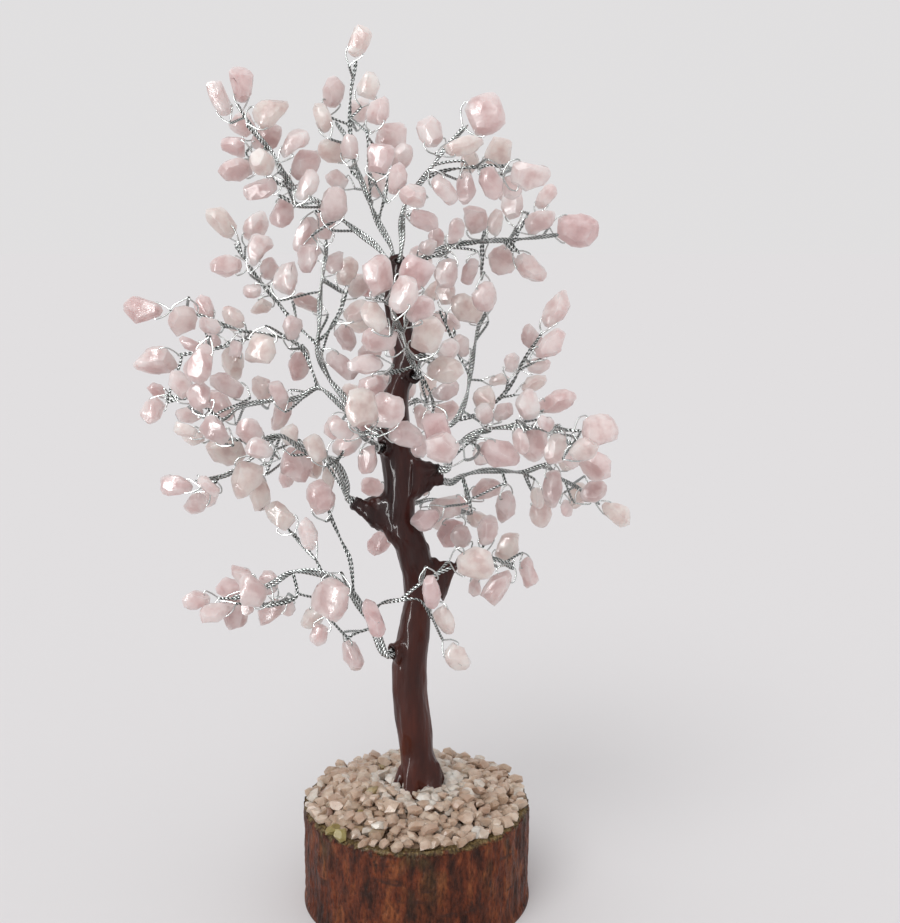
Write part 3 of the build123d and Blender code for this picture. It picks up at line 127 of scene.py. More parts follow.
# Branches. stub: root and mouth as u, v, depth share. size: its bundle. depth: depth
# share at the tips. wires: kind at the start and at the end, and the route as u, v, depth shift share.
# gems: u, v, depth shift share, kind, size share, lean in degrees clockwise from up, None along its wire
BRANCH_PIXELS_AND_SHARES = {
    "low_left": {
        "stub": ((412, 646, 0), (392, 653, -.07)), "size": "thick", "depth": -.34,
        "wires": [
            ("thick", "spray", [(376, 634, 0), (360, 606, 0), (345, 586, 0), (322, 574, 0),
                                (293, 572, 0), (270, 585, 0), (235, 598, .02)]),
            ("twig", "twig", [(293, 572, 0), (296, 597, -.03), (270, 606, -.05), (252, 605, -.04)]),
            ("spray", "twig", [(322, 574, 0), (317, 562, .03), (303, 545, .03), (287, 528, .03)]),
            ("spray", "twig", [(354, 598, 0), (350, 560, .06), (341, 540, .1), (332, 520, .1),
                               (328, 508, .08)]),
            ("spray", "twig", [(368, 620, 0), (380, 604, -.16), (400, 600, -.24), (419, 600, -.24),
                               (432, 618, -.18)]),
            ("twig", "twig", [(400, 600, -.24), (424, 581, -.26), (450, 568, -.18)]),
            ("twig", "twig", [(372, 628, 0), (354, 634, -.04), (346, 640, -.06)]),
        ],
        "gems": [
            (196, 600, .04, "nugget", .9, -90), (230, 590, .16, "block", .85, -70),
            (242, 575, -.05, "wedge", .85, -50), (252, 591, -.14, "block", .95, -60),
            (269, 582, .10, "shard", .9, -20), (214, 613, -.08, "nugget", .95, -110),
            (236, 615, -.04, "wedge", 1.1, 190), (248, 607, .18, "nugget", .6, None),
            (269, 613, -.08, "slab", 1.1, -130), (289, 609, .08, "nugget", .65, 180),
            (331, 600, -.14, "block", 1.3, 200), (314, 618, .02, "nugget", .95, -150),
            (319, 636, -.10, "shard", .8, 200), (374, 619, -.22, "broad", 1.1, None),
            (353, 655, .00, "bean", 1.1, 155), (279, 515, .05, "wedge", 1.0, -40),
            (307, 533, -.06, "leaf", 1.15, -20), (320, 496, .08, "nugget", 1.15, -10),
            (431, 591, -.30, "slab", 1.1, 170), (445, 621, -.14, "wedge", .95, 150),
            (458, 657, -.08, "nugget", 1.0, 140), (475, 563, -.12, "block", 1.15, 90),
        ],
    },
    "low_right": {
        "stub": ((424, 582, 0), (460, 563, .02)), "size": "bundle", "depth": .16,
        "wires": [
            ("bundle", "twig", [(478, 558, 0), (496, 559, .02), (512, 568, .0)]),
            ("spray", "twig", [(478, 558, 0), (484, 544, -.06)]),
        ],
        "gems": [
            (461, 537, .02, "nugget", .9, -20), (487, 530, -.10, "nugget", 1.0, 5),
            (509, 546, .12, "shard", 1.1, 30), (497, 587, -.06, "slab", 1.35, 215),
            (528, 573, .06, "slab", 1.05, 165), (475, 588, .10, "nugget", .7, 180),
        ],
    },
    "mid_left": {
        "stub": ((402, 532, 0), (353, 501, -.03)), "size": "thick", "depth": -.52,
        "wires": [
            ("thick", "twig", [(345, 484, 0), (336, 464, 0), (318, 454, 0), (298, 446, 0),
                               (280, 436, 0), (262, 442, 0), (252, 458, 0), (226, 475, 0),
                               (198, 480, 0)]),
            ("spray", "twig", [(336, 464, 0), (343, 452, -.04)]),
            ("twig", "twig", [(280, 436, 0), (272, 458, .06), (266, 474, .08)]),
            ("twig", "twig", [(262, 442, 0), (240, 440, .04), (212, 438, .04)]),
        ],
        "gems": [
            (328, 480, .06, "slab", .8, 190), (314, 447, -.10, "nugget", .9, -30),
            (347, 443, -.06, "nugget", 1.0, 60), (296, 465, -.04, "block", 1.1, 190),
            (314, 468, .10, "wedge", .9, 180), (289, 474, .16, "nugget", .95, 200),
            (246, 481, -.08, "wedge", 1.2, 200), (260, 496, .04, "slab", 1.2, 165),
            (176, 485, .00, "kite", 1.0, -85), (195, 504, .04, "nugget", .85, -130),
            (208, 486, -.12, "block", .8, None), (210, 498, .14, "wedge", .75, 200),
            (259, 449, -.14, "nugget", .9, -60), (225, 450, -.08, "broad", 1.2, -90),
            (249, 430, -.06, "shard", 1.0, -30), (214, 429, -.16, "nugget", .95, -50),
            (194, 437, -.06, "nugget", .7, -90), (185, 430, -.14, "slab", .75, -70),
            (291, 434, .10, "shard", .8, 0),
        ],
    },
    "front_low": {
        "stub": ((394, 447, 0), (381, 447, -.12)), "size": "bundle", "depth": -.66,
        "wires": [
            ("bundle", "twig", [(372, 444, .0), (362, 436, .0), (352, 424, .02)]),
            ("spray", "twig", [(362, 436, 0), (376, 426, -.04), (386, 428, -.08)]),
        ],
        "gems": [
            (339, 430, .04, "nugget", .85, -70), (361, 408, .02, "block", 1.1, -10),
            (384, 409, -.04, "broad", 1.1, 10), (406, 434, -.08, "nugget", 1.1, 100),
            (368, 461, .04, "wedge", .95, 190),
        ],
    },
    "left_long": {
        "stub": ((394, 417, -.02), (373, 416, -.06)), "size": "bundle", "depth": -.14,
        "wires": [
            ("bundle", "twig", [(350, 412, 0), (332, 397, 0), (318, 388, 0), (298, 398, 0),
                                (268, 401, 0), (240, 407, 0), (222, 420, 0), (205, 417, 0),
                                (190, 408, 0)]),
            ("twig", "twig", [(222, 420, 0), (190, 398, .04), (168, 402, .06)]),
            ("spray", "twig", [(318, 388, 0), (311, 368, .02), (303, 350, .04), (290, 340, .04),
                               (262, 334, .04), (240, 330, .04), (215, 321, .04), (195, 314, .04),
                               (172, 311, .04)]),
            ("spray", "twig", [(262, 334, .04), (238, 342, .08), (210, 350, .08), (180, 355, .08)]),
        ],
        "gems": [
            (281, 414, .06, "slab", 1.1, 200), (278, 392, -.10, "nugget", .8, -20),
            (261, 387, .10, "nugget", .95, -20), (227, 385, -.08, "slab", 1.1, -60),
            (219, 404, .16, "nugget", 1.2, -40), (188, 414, .06, "slab", .9, -100),
            (152, 412, .04, "nugget", .9, -140), (156, 390, .10, "nugget", .65, -60),
            (180, 384, -.06, "wedge", .9, -30), (200, 396, -.08, "block", .85, -20),
            (292, 327, -.08, "nugget", .85, 10), (299, 366, .12, "nugget", .95, 190),
            (261, 350, -.10, "block", 1.0, 190), (233, 318, .10, "wedge", .95, -30),
            (209, 326, -.10, "nugget", .8, None), (204, 306, .04, "nugget", .8, -20),
            (182, 322, .00, "shard", 1.1, 200), (143, 311, .04, "kite", 1.2, -90),
            (213, 341, .18, "nugget", .7, None), (236, 349, -.04, "block", .6, 190),
            (190, 344, -.08, "slab", .8, -70), (200, 364, .02, "kite", 1.2, 200),
            (153, 361, .06, "wedge", 1.35, -100), (233, 362, .16, "block", 1.0, 190),
        ],
    },
    "upper_left": {
        "stub": ((394, 411, .03), (373, 406, .07)), "size": "bundle", "depth": .30,
        "wires": [
            ("bundle", "twig", [(352, 405, 0), (338, 390, 0), (326, 374, 0), (318, 352, 0),
                                (319, 325, 0), (320, 298, 0), (323, 272, 0), (326, 252, 0),
                                (326, 236, 0)]),
            ("spray", "twig", [(320, 340, 0), (333, 325, -.05), (342, 306, -.07), (347, 292, -.07)]),
            ("spray", "twig", [(318, 345, 0), (298, 326, .06), (280, 306, .08), (262, 284, .08),
                               (246, 262, .06), (236, 246, .05)]),
            ("spray", "twig", [(298, 326, .06), (293, 302, .14)]),
        ],
        "gems": [
            (326, 222, -.06, "slab", 1.1, 5), (308, 303, .06, "bean", 1.0, -60),
            (336, 262, -.10, "nugget", .8, 40), (358, 286, .06, "nugget", .85, 50),
            (357, 311, -.12, "nugget", .95, 60), (346, 339, .10, "wedge", 1.0, 150),
            (347, 270, -.02, "nugget", 1.0, 10), (309, 248, .06, "nugget", .85, -50),
            (342, 366, -.06, "slab", 1.15, 130), (258, 250, -.06, "kite", 1.1, 20),
            (270, 268, .04, "nugget", .8, 20), (287, 276, -.10, "wedge", 1.1, 20),
            (226, 266, .04, "nugget", 1.0, -90), (220, 220, .02, "leaf", 1.35, -40),
            (256, 226, .10, "nugget", 1.1, 30), (252, 292, -.06, "nugget", .65, -110),
            (262, 308, .06, "block", .65, -140),
        ],
    },
    "front": {
        "stub": ((409, 374, -.02), (415, 375, -.13)), "size": "bundle", "depth": -.90,
        "wires": [
            ("bundle", "twig", [(416, 370, -.06), (410, 358, -.02), (402, 335, 0), (394, 314, 0),
                                (389, 300, 0)]),
            ("twig", "twig", [(402, 335, 0), (408, 318, -.06)]),
            ("spray", "twig", [(410, 358, -.02), (424, 356, .02), (434, 360, .06)]),
            ("spray", "twig", [(414, 366, -.04), (428, 388, .02), (434, 404, .04)]),
            ("twig", "twig", [(414, 366, -.04), (398, 372, -.02), (386, 374, .0)]),
        ],
        "gems": [
            (379, 339, -.04, "shard", 1.15, -70), (373, 316, .06, "nugget", .95, -40),
            (428, 334, -.06, "block", 1.1, 20), (421, 309, .08, "nugget", .9, 40),
            (405, 292, -.10, "nugget", 1.1, 20), (379, 275, .02, "block", 1.1, -10),
            (416, 272, .10, "block", 1.0, 30), (446, 369, -.06, "nugget", 1.1, 90),
            (446, 390, .08, "nugget", .85, 60), (448, 349, .12, "nugget", .8, 50),
            (437, 430, -.02, "block", 1.0, 170), (421, 447, .10, "nugget", .8, 200),
            (366, 366, -.06, "bean", 1.1, -90), (370, 388, .08, "shard", 1.1, -130),
        ],
    },
    "mid_right": {
        "stub": ((412, 476, 0), (444, 481, .03)), "size": "bundle", "depth": .34,
        "wires": [
            ("bundle", "twig", [(462, 476, 0), (482, 471, 0), (502, 471, 0), (524, 472, 0),
                                (545, 466, 0), (560, 478, .02), (578, 488, .02), (598, 503, .02)]),
            ("spray", "twig", [(462, 476, 0), (468, 495, -.05), (472, 512, -.08)]),
            ("spray", "twig", [(524, 472, 0), (531, 490, .06)]),
            ("twig", "twig", [(502, 471, 0), (506, 484, -.06)]),
            ("twig", "twig", [(545, 466, 0), (558, 460, -.04)]),
        ],
        "gems": [
            (425, 519, .02, "nugget", .95, -120), (446, 506, -.06, "shard", 1.1, -90),
            (450, 534, .08, "shard", 1.15, 200), (487, 489, .06, "nugget", 1.0, 60),
            (506, 507, -.10, "slab", 1.15, 180), (538, 498, -.06, "nugget", .75, 170),
            (541, 514, .12, "nugget", 1.05, 180), (553, 489, -.10, "slab", 1.2, 180),
            (566, 508, .10, "nugget", .6, 170), (570, 460, -.06, "nugget", .8, 60),
            (577, 497, .10, "nugget", 1.0, 200), (593, 491, -.06, "nugget", .95, 60),
            (617, 513, .02, "kite", 1.15, 115), (480, 520, .00, "nugget", .95, 120),
        ],
    },
    "right_long": {
        "stub": ((412, 470, -.01), (440, 469, -.07)), "size": "bundle", "depth": -.42,
        "wires": [
            ("bundle", "twig", [(450, 456, 0), (464, 440, 0), (484, 430, 0), (508, 427, 0),
                                (530, 427, 0), (550, 432, 0), (568, 442, 0), (586, 454, 0)]),
            ("spray", "twig", [(508, 427, 0), (526, 420, .06), (542, 411, .08)]),
            ("twig", "twig", [(550, 432, 0), (566, 430, -.05), (580, 431, -.06)]),
            ("twig", "twig", [(464, 440, 0), (478, 446, -.08)]),
        ],
        "gems": [
            (440, 447, -.16, "shard", 1.15, -60), (500, 454, -.06, "nugget", 1.25, 120),
            (482, 455, .08, "nugget", .85, 170), (484, 413, -.06, "nugget", .7, -20),
            (503, 412, .08, "nugget", .75, None), (520, 442, -.12, "nugget", .8, 170),
            (535, 445, .04, "nugget", 1.1, 190), (556, 450, -.08, "nugget", 1.0, 190),
            (545, 424, -.12, "nugget", .7, None), (528, 404, .02, "nugget", 1.0, -10),
            (557, 401, .08, "slab", 1.2, 70), (600, 432, -.04, "block", 1.15, 90),
            (584, 449, -.14, "nugget", .9, 60), (572, 457, .10, "nugget", .8, 180),
            (596, 466, .00, "block", 1.2, 130),
        ],
    },
    "upper_right": {
        "stub": ((400, 442, .02), (420, 440, .08)), "size": "bundle", "depth": .06,
        "wires": [
            ("bundle", "twig", [(438, 434, 0), (456, 420, 0), (466, 398, .04), (470, 376, .06),
                                (474, 350, .06), (479, 326, .06), (488, 310, .06)]),
            ("spray", "twig", [(470, 376, .06), (458, 352, .12), (454, 330, .14)]),
            ("twig", "twig", [(458, 352, .12), (446, 325, .18), (440, 312, .18)]),
            ("spray", "twig", [(456, 420, 0), (478, 414, -.03), (500, 398, -.04), (514, 380, -.04),
                               (524, 360, -.04), (540, 336, -.04)]),
        ],
        "gems": [
            (466, 309, .02, "nugget", 1.15, -60), (487, 296, .10, "nugget", .95, 10),
            (446, 292, .14, "nugget", .9, 0), (462, 345, -.04, "nugget", .7, -20),
            (556, 308, -.04, "bean", 1.3, 30), (532, 338, .06, "nugget", 1.0, -30),
            (550, 345, -.10, "kite", 1.1, 50), (539, 366, .06, "nugget", .8, 80),
            (535, 383, -.08, "leaf", 1.0, 60), (511, 362, -.10, "nugget", .7, None),
            (500, 381, .10, "nugget", .7, None), (484, 399, -.12, "nugget", 1.0, 0),
        ],
    },
    "top_left": {
        "stub": ((393, 277, 0), (388, 264, -.03)), "size": "bundle", "depth": -.12,
        "wires": [
            ("bundle", "twig", [(376, 246, 0), (358, 232, 0), (340, 218, 0), (318, 202, 0),
                                (298, 192, 0), (284, 174, -.05), (272, 152, -.05), (258, 136, -.05),
                                (246, 118, .0), (238, 106, .04)]),
            ("spray", "twig", [(298, 192, 0), (276, 182, .08), (258, 168, .1), (246, 154, .1)]),
            ("spray", "twig", [(318, 202, 0), (298, 204, .08), (280, 196, .1)]),
            ("twig", "twig", [(340, 218, 0), (326, 226, -.06), (316, 232, -.08)]),
        ],
        "gems": [
            (219, 97, .10, "bean", 1.1, -20), (241, 84, .00, "kite", 1.1, 0),
            (270, 111, -.10, "wedge", 1.1, 60), (243, 124, .14, "block", .8, -50),
            (232, 146, .06, "wedge", .9, -70), (268, 136, .10, "nugget", 1.1, 40),
            (294, 143, -.06, "kite", 1.0, 40), (235, 171, .02, "nugget", 1.0, -100),
            (262, 163, -.12, "nugget", 1.0, None), (260, 190, .06, "slab", 1.1, -110),
            (306, 163, .04, "nugget", 1.1, 30), (308, 184, -.12, "slab", 1.0, 30),
            (282, 214, .06, "nugget", 1.0, 200), (306, 236, -.06, "nugget", 1.1, 200),
            (308, 258, .10, "block", .85, 190), (334, 203, .08, "nugget", 1.1, 10),
        ],
    },
    "top_centre": {
        "stub": ((395, 272, .04), (393, 257, .08)), "size": "bundle", "depth": .12,
        "wires": [
            ("bundle", "twig", [(388, 240, 0), (378, 222, 0), (370, 204, 0), (362, 182, 0),
                                (353, 160, 0), (345, 136, 0), (337, 124, .03)]),
            ("spray", "twig", [(353, 160, 0), (350, 126, .06), (351, 92, .08), (356, 62, .08)]),
            ("spray", "twig", [(370, 204, 0), (370, 184, -.06), (369, 162, -.08), (367, 132, -.08)]),
            ("spray", "twig", [(378, 222, 0), (384, 200, .06), (388, 180, .08)]),
            ("twig", "twig", [(362, 182, 0), (352, 172, .04)]),
        ],
        "gems": [
            (359, 40, .04, "bean", 1.1, 25), (333, 92, .08, "nugget", 1.0, 10),
            (322, 117, -.06, "slab", .95, -20), (369, 84, .00, "shard", .95, 20),
            (379, 110, -.06, "wedge", 1.0, 20), (360, 110, .16, "block", .85, 10),
            (331, 151, .04, "nugget", .95, -75), (349, 146, -.16, "wedge", .8, 0),
            (337, 178, .08, "nugget", .8, -60), (391, 138, .10, "block", 1.05, 10),
            (402, 156, .02, "nugget", .85, 30), (380, 158, -.10, "block", .95, 10),
            (374, 184, .16, "nugget", 1.0, None), (396, 179, -.06, "nugget", .95, 20),
        ],
    },
    "top_right": {
        "stub": ((398, 273, -.03), (400, 259, -.07)), "size": "bundle", "depth": -.26,
        "wires": [
            ("bundle", "twig", [(402, 240, 0), (402, 218, 0), (408, 198, 0), (424, 178, 0),
                                (438, 158, 0), (452, 141, 0), (466, 127, 0)]),
            ("spray", "twig", [(424, 178, 0), (448, 170, .08), (474, 167, .1), (496, 166, .1),
                               (512, 168, .1)]),
            ("twig", "twig", [(402, 218, 0), (410, 214, -.04)]),
        ],
        "gems": [
            (486, 113, .00, "broad", 1.1, 60), (430, 130, .06, "shard", 1.1, -20),
            (464, 146, -.06, "blade", 1.2, 75), (445, 190, -.10, "slab", 1.0, 140),
            (466, 187, .02, "kite", 1.0, 178), (470, 160, .18, "nugget", .85, 20),
            (499, 152, .00, "block", .9, 20), (492, 184, .10, "wedge", 1.0, 170),
            (531, 175, .08, "wedge", 1.2, 90), (414, 196, -.12, "shard", 1.1, None),
            (425, 220, -.04, "nugget", .9, 110), (512, 188, -.02, "nugget", .8, 170),
        ],
    },
    "right_upper": {
        "stub": ((393, 286, 0), (405, 274, .02)), "size": "bundle", "depth": .20,
        "wires": [
            ("bundle", "twig", [(420, 259, 0), (440, 249, 0), (462, 243, 0), (482, 241, 0),
                                (508, 240, 0), (532, 238, -.02), (556, 235, -.03)]),
            ("spray", "twig", [(508, 240, 0), (520, 228, .06), (528, 214, .08)]),
            ("spray", "twig", [(482, 241, 0), (486, 228, .06)]),
            ("spray", "twig", [(482, 241, 0), (482, 262, .04), (481, 278, .04)]),
            ("twig", "twig", [(508, 240, 0), (518, 252, -.04)]),
            ("twig", "twig", [(440, 249, 0), (450, 262, -.05)]),
        ],
        "gems": [
            (474, 218, .02, "shard", 1.05, -20), (496, 221, -.06, "slab", .85, 20),
            (512, 205, .10, "nugget", .95, -10), (540, 220, -.02, "nugget", 1.0, 60),
            (546, 196, .04, "nugget", .85, 30), (504, 190, .14, "nugget", .9, -20),
            (579, 230, -.04, "nugget", 1.4, 95), (532, 268, -.04, "nugget", 1.1, 130),
            (502, 262, .08, "shard", 1.1, 150), (470, 272, -.06, "slab", .9, 200),
            (436, 236, .04, "nugget", .8, -20), (456, 230, -.08, "nugget", .8, 20),
            (446, 275, .04, "nugget", 1.0, 190), (484, 298, -.02, "nugget", 1.0, 180),
            (428, 246, -.10, "nugget", .7, None),
        ],
    },
    "rear_low": {
        "stub": ((405, 524, .02), (410, 519, .13)), "size": "bundle", "depth": .72,
        "wires": [
            ("bundle", "twig", [(412, 514, .04), (412, 506, .04), (396, 498, .0), (384, 494, -.04)]),
            ("spray", "twig", [(412, 506, .04), (428, 500, .04), (444, 500, .04)]),
            ("spray", "twig", [(412, 510, .04), (400, 526, -.06), (388, 536, -.12)]),
        ],
        "gems": [
            (371, 487, .02, "nugget", .95, -70), (379, 543, -.06, "nugget", 1.0, 220),
            (398, 478, .10, "wedge", 1.0, 0), (410, 540, .04, "nugget", .9, 180),
            (424, 482, -.06, "block", .9, 20), (460, 503, .10, "nugget", 1.0, 90),
            (436, 520, .10, "nugget", .9, 130),
        ],
    },
    "rear_mid": {
        "stub": ((395, 432, .02), (397, 428, .13)), "size": "bundle", "depth": .84,
        "wires": [
            ("bundle", "twig", [(398, 420, .06), (398, 412, .08), (384, 404, 0), (368, 404, 0),
                                (352, 410, -.02), (342, 420, -.04)]),
            ("spray", "twig", [(398, 412, .08), (414, 402, .04), (430, 402, .02)]),
            ("spray", "twig", [(398, 412, .08), (404, 430, .0)]),
        ],
        "gems": [
            (352, 396, .04, "nugget", 1.0, -20), (334, 428, .02, "block", .9, 220),
            (366, 426, -.08, "wedge", 1.0, 190), (384, 388, .06, "nugget", 1.1, 10),
            (406, 388, -.10, "shard", 1.0, 10), (428, 384, .04, "nugget", .95, 10),
            (446, 410, .04, "kite", 1.0, 100), (424, 418, .12, "nugget", .9, 160),
            (404, 446, .04, "nugget", 1.0, 180),
        ],
    },
    "rear_upper": {
        "stub": ((399, 334, .02), (400, 328, .12)), "size": "bundle", "depth": .66,
        "wires": [
            ("bundle", "twig", [(401, 318, .06), (401, 310, .06), (388, 298, .02), (376, 292, .0)]),
            ("spray", "twig", [(401, 310, .06), (412, 292, .06), (416, 278, .06)]),
            ("spray", "twig", [(401, 310, .06), (418, 312, .02), (434, 316, .0)]),
            ("spray", "twig", [(401, 314, .06), (390, 328, .04), (380, 340, .02)]),
        ],
        "gems": [
            (362, 286, .04, "nugget", 1.0, -60), (380, 276, -.06, "wedge", .9, 10),
            (398, 268, .08, "nugget", 1.0, -10), (418, 262, -.04, "block", 1.0, 10),
            (436, 290, .06, "nugget", .9, 50), (448, 322, .02, "shard", 1.1, 100),
            (428, 334, .10, "nugget", 1.0, 150), (371, 352, .04, "nugget", 1.0, 220),
            (398, 352, .08, "wedge", 1.0, 180), (358, 324, .10, "nugget", .9, -90),
        ],
    },
}

# Kinds of bundle: radius, ropes, wires in a rope and length of one turn of the wires, in metres
BUNDLES = {"thick": (0.00145, 2, 3, 0.0036), "bundle": (0.0011, 2, 3, 0.0032),
           "spray": (0.0008, 2, 2, 0.0028), "twig": (0.0006, 1, 2, 0.0026)}
ROPE_SWELL_SHARES = {"thick": 1.25, "bundle": 1.2, "spray": 1.05, "twig": 1.0}
ROPE_TURN = 0.030
PAIR_TURN = 0.0023
STEPS_A_TURN = 8
WIRE_ROUNDNESS = 1
TIP_SHARE = 0.45
TIP_LENGTH_SHARE = 1.2

# Each gem's wire: where it leaves its bundle, its bends, and its loop through the hole
CARRIER_STEP_SHARES = (0, .2, .4, .6, .8, 1)
SHORT_LEAD_COST = 3
FREE_TILT_SHARE = 0.5
LEAD_CURVE_SHARE = 0.1
LEAST_LEAD_STEPS = 4
LEG_SHARE = 0.1
LOOP_STEP = 0.0006

# Each gem's own form: its swelling, broken faces, soft edges and lumps
GEM_SWELL_SHARE = 1.14
GEM_CREASE = 0.3
GEM_CUTS = 3
GEM_CUT_DEGREES = (-35, 215)
GEM_CUT_SLOPE = 0.9
GEM_CUT_SHARES = (0.72, 0.9)
GEM_LUMP = 0.0022
GEM_LUMP_SIZE = 0.0045
GEM_LUMP_MIDDLE = 0.62
GEM_EDGE_DEGREES = 34

# Trunk: thicker stubs as pixel position and half height of their root, roots as their two ends
# and radii, the collar at one stub's mouth, and the lumps and rags of the lacquer
HORN_PIXELS = {"mid_left": (392, 510, 26), "low_right": (430, 579, 29), "mid_right": (408, 478, 30),
               "right_long": (410, 466, 14), "upper_left": (392, 411, 13)}
HORN_TIP_SHARE = 0.4
HORN_SETBACK = 0.0030
HORN_DEPTH_SHARE = 0.66
HORN_TAPER = 0.7
HORN_TAPER_START = 0.0014
HORN_TAPER_WIDTH_SHARE = 3
HORN_TAPER_REACH = 0.0065
ROOT_LIMBS = (((-0.0015, -0.0025, 0.048), (-0.0016, -0.0108, 0.0345), 0.0030, 0.0019),
              ((-0.0035, -0.0010, 0.044), (-0.0078, -0.0040, 0.0370), 0.0026, 0.0013),
              ((0.0045, -0.0010, 0.046), (0.0068, -0.0082, 0.0352), 0.0034, 0.0024),
              ((0.0045, 0.0020, 0.044), (0.0095, 0.0010, 0.0362), 0.0028, 0.0018))
LIMB_SIDES = 24
COLLAR_BRANCH = "low_left"
COLLAR_RADIUS = 0.0027
COLLAR_THICKNESS = 0.0009
COLLAR_SETBACK = 0.0008
COLLAR_SIDES = (32, 12)
TRUNK_FOOT_PIXELS = (785, 404, 443)
TRUNK_GRAIN = 0.00045
TRUNK_SMOOTHING = 12
TRUNK_SMOOTHING_SHARE = 0.6
TRUNK_STRETCH = 4.0
TRUNK_LUMP = 0.0010
TRUNK_LUMP_SIZE = 0.004
TRUNK_LUMP_MIDDLE = 0.55
MOUTH_REACH = 0.0035
MOUTH_RAG = 0.0007
MOUTH_RAG_SIZE = 0.0016
MOUTH_RAG_MIDDLE = 0.5

# Bark: rows and columns of its wall, its plates, fibres and carved rim, and where its colours change
BARK_COLUMNS = 540
BARK_ROWS = 48
RIM_ROWS = 3
BARK_STRETCH = 4.5
BARK_PLATE = 0.0010
BARK_PLATE_SIZE = 0.008
BARK_FIBRE = 0.0004
BARK_FIBRE_SIZE = 0.0024
RIM_CARVE = 0.0011
RIM_CARVE_SIZE = 0.0028
CARVED_IN = 1.0
WALL_FADE = 0.0022
WALL_FADE_START = 0.4
RIM_LOW = 0.0322
RIM_HIGH = 0.0330
RIM_STRAY = 0.006
MOSS_LOW = 0.013
RED_LOW = 0.075
RED_HIGH = 0.135

# Chips: broken forms of unit length, three layers from the lowest up, and the clear chips round the trunk
CHIP_KINDS = 8
CHIP_START_RADIUS = 0.62
CHIP_WIDTH_SHARES = (0.6, 0.9)
CHIP_THICKNESS_SHARES = (0.36, 0.56)
CHIP_CUTS = 4
CHIP_CUT_SLOPE = 0.8
CHIP_CUT_REACHES = (0.22, 0.34)
CHIP_COUNTS = (430, 270, 150)
CHIP_REACHES = (0.0354, 0.0290, 0.0215)
CHIP_TURN_DEGREES = 137.508
CHIP_STRAY = 0.0012
CHIP_SIZE_SHARES = (0.85, 1.5)
CHIP_TILT = 0.8
CHIP_EDGE_SEAT = 0.0331
FOOT_ROOM = 0.0062
CLEAR_REACH = 0.0160
CLEAR_REACH_SHARES = (0.6, 1.2)
CLEAR_TONE = 0.88
CLEAR_TONE_SPREAD = 0.08

# Merging of doubled corners, and the start of the random draws
MERGE_REACH = 0.00001
TRUNK_MERGE_REACH = 0.000005
WIRE_MERGE_REACH = 0.0000001
SEED = 7

# Floor, world, key light, camera, and lamps that only gloss shows: width, height, power and place
PALE = (0.75, 0.74, 0.745, 1.0)
FLOOR_SIZE = 12.0
FLOOR_ROUGHNESS = 0.9
KEY_STRENGTH = 1.02
KEY_SPREAD_DEGREES = 35
KEY_TILT_DEGREES = 38
KEY_TURN_DEGREES = -28
GLOSS_LAMPS = {"window": (0.16, 0.5, 5.0, (-0.75, -0.9, 0.75)),
               "strip": (0.035, 0.34, 0.65, (-0.15, -0.18, 0.17))}
SENSOR_WIDTH_MM = 36.0
NEAR_AND_FAR = (0.01, 50.0)


def only(*pieces):
    """Selects these pieces alone and makes the first one active."""
    for other in bpy.context.view_layer.objects:
        other.select_set(False)
    for piece in pieces:
        piece.select_set(True)
    bpy.context.view_layer.objects.active = pieces[0]


def in_edit(operator, **settings):
    """Runs one operator in edit mode on all of the active piece."""
    bpy.ops.object.mode_set(mode="EDIT")
    bpy.ops.mesh.select_all(action="SELECT")
    family, name = operator.split(".")
    getattr(getattr(bpy.ops, family), name)(**settings)
    bpy.ops.object.mode_set(mode="OBJECT")


def pick(piece, chosen):
    """Selects the chosen vertices of a piece, and the edges and faces that lie wholly among them."""
    piece.data.vertices.foreach_set("select", chosen)
    for parts in (piece.data.edges, piece.data.polygons):
        parts.foreach_set("select", [all(chosen[corner] for corner in part.vertices) for part in parts])


def copy_of(piece, name):
    """A copy with its own mesh, free of what it rode on."""
    double = piece.copy()
    double.data = piece.data.copy()
    double.name = name
    double.parent = None
    double.hide_render = double.hide_viewport = False
    bpy.context.collection.objects.link(double)
    for key in [key for key in double.keys() if key.startswith("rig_")]:
        del double[key]
    return double


def joined(pieces, name):
    """One piece made of many."""
    only(*pieces)
    bpy.ops.object.join()
    piece = bpy.context.active_object
    piece.name = piece.data.name = name
    return piece


def settled():
    """The active piece, with its place and turn put into its mesh."""
    bpy.ops.object.transform_apply(location=True, rotation=True, scale=True)
    return bpy.context.active_object


def facing(way):
    """Turn that points a piece's Z axis a given way."""
    return way.to_track_quat("Z", "Y").to_euler()


def apply(piece, kind, **settings):
    """Adds a modifier with its settings and applies it."""
    only(piece)
    modifier = piece.modifiers.new(kind.lower(), kind)
    for setting, value in settings.items():
        setattr(modifier, setting, value)
    bpy.ops.object.modifier_apply(modifier=modifier.name)
    return piece


def roughen(piece, name, kind, size, strength, middle, group="", **settings):
    """Moves a piece's surface in and out by a texture, all over or in one vertex group."""
    texture = bpy.data.textures.new(name, kind)
    texture.noise_scale = size
    for setting, value in settings.items():
        setattr(texture, setting, value)
    apply(piece, "DISPLACE", texture=texture, strength=strength, mid_level=middle, vertex_group=group)


def mark(piece, name, values):
    """Gives each vertex of a piece its own value, which its finish reads by name."""
    piece.data.attributes.new(name, "FLOAT", "POINT").data.foreach_set("value", values)


def dress(piece, body, slot, material, *nodes):
    """Gives a finished piece its body, its material and the nodes that it stands for."""
    piece.data.materials.clear()
    piece.data.materials.append(material)
    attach(piece, body)
    if nodes:
        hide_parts(*nodes)
    return piece


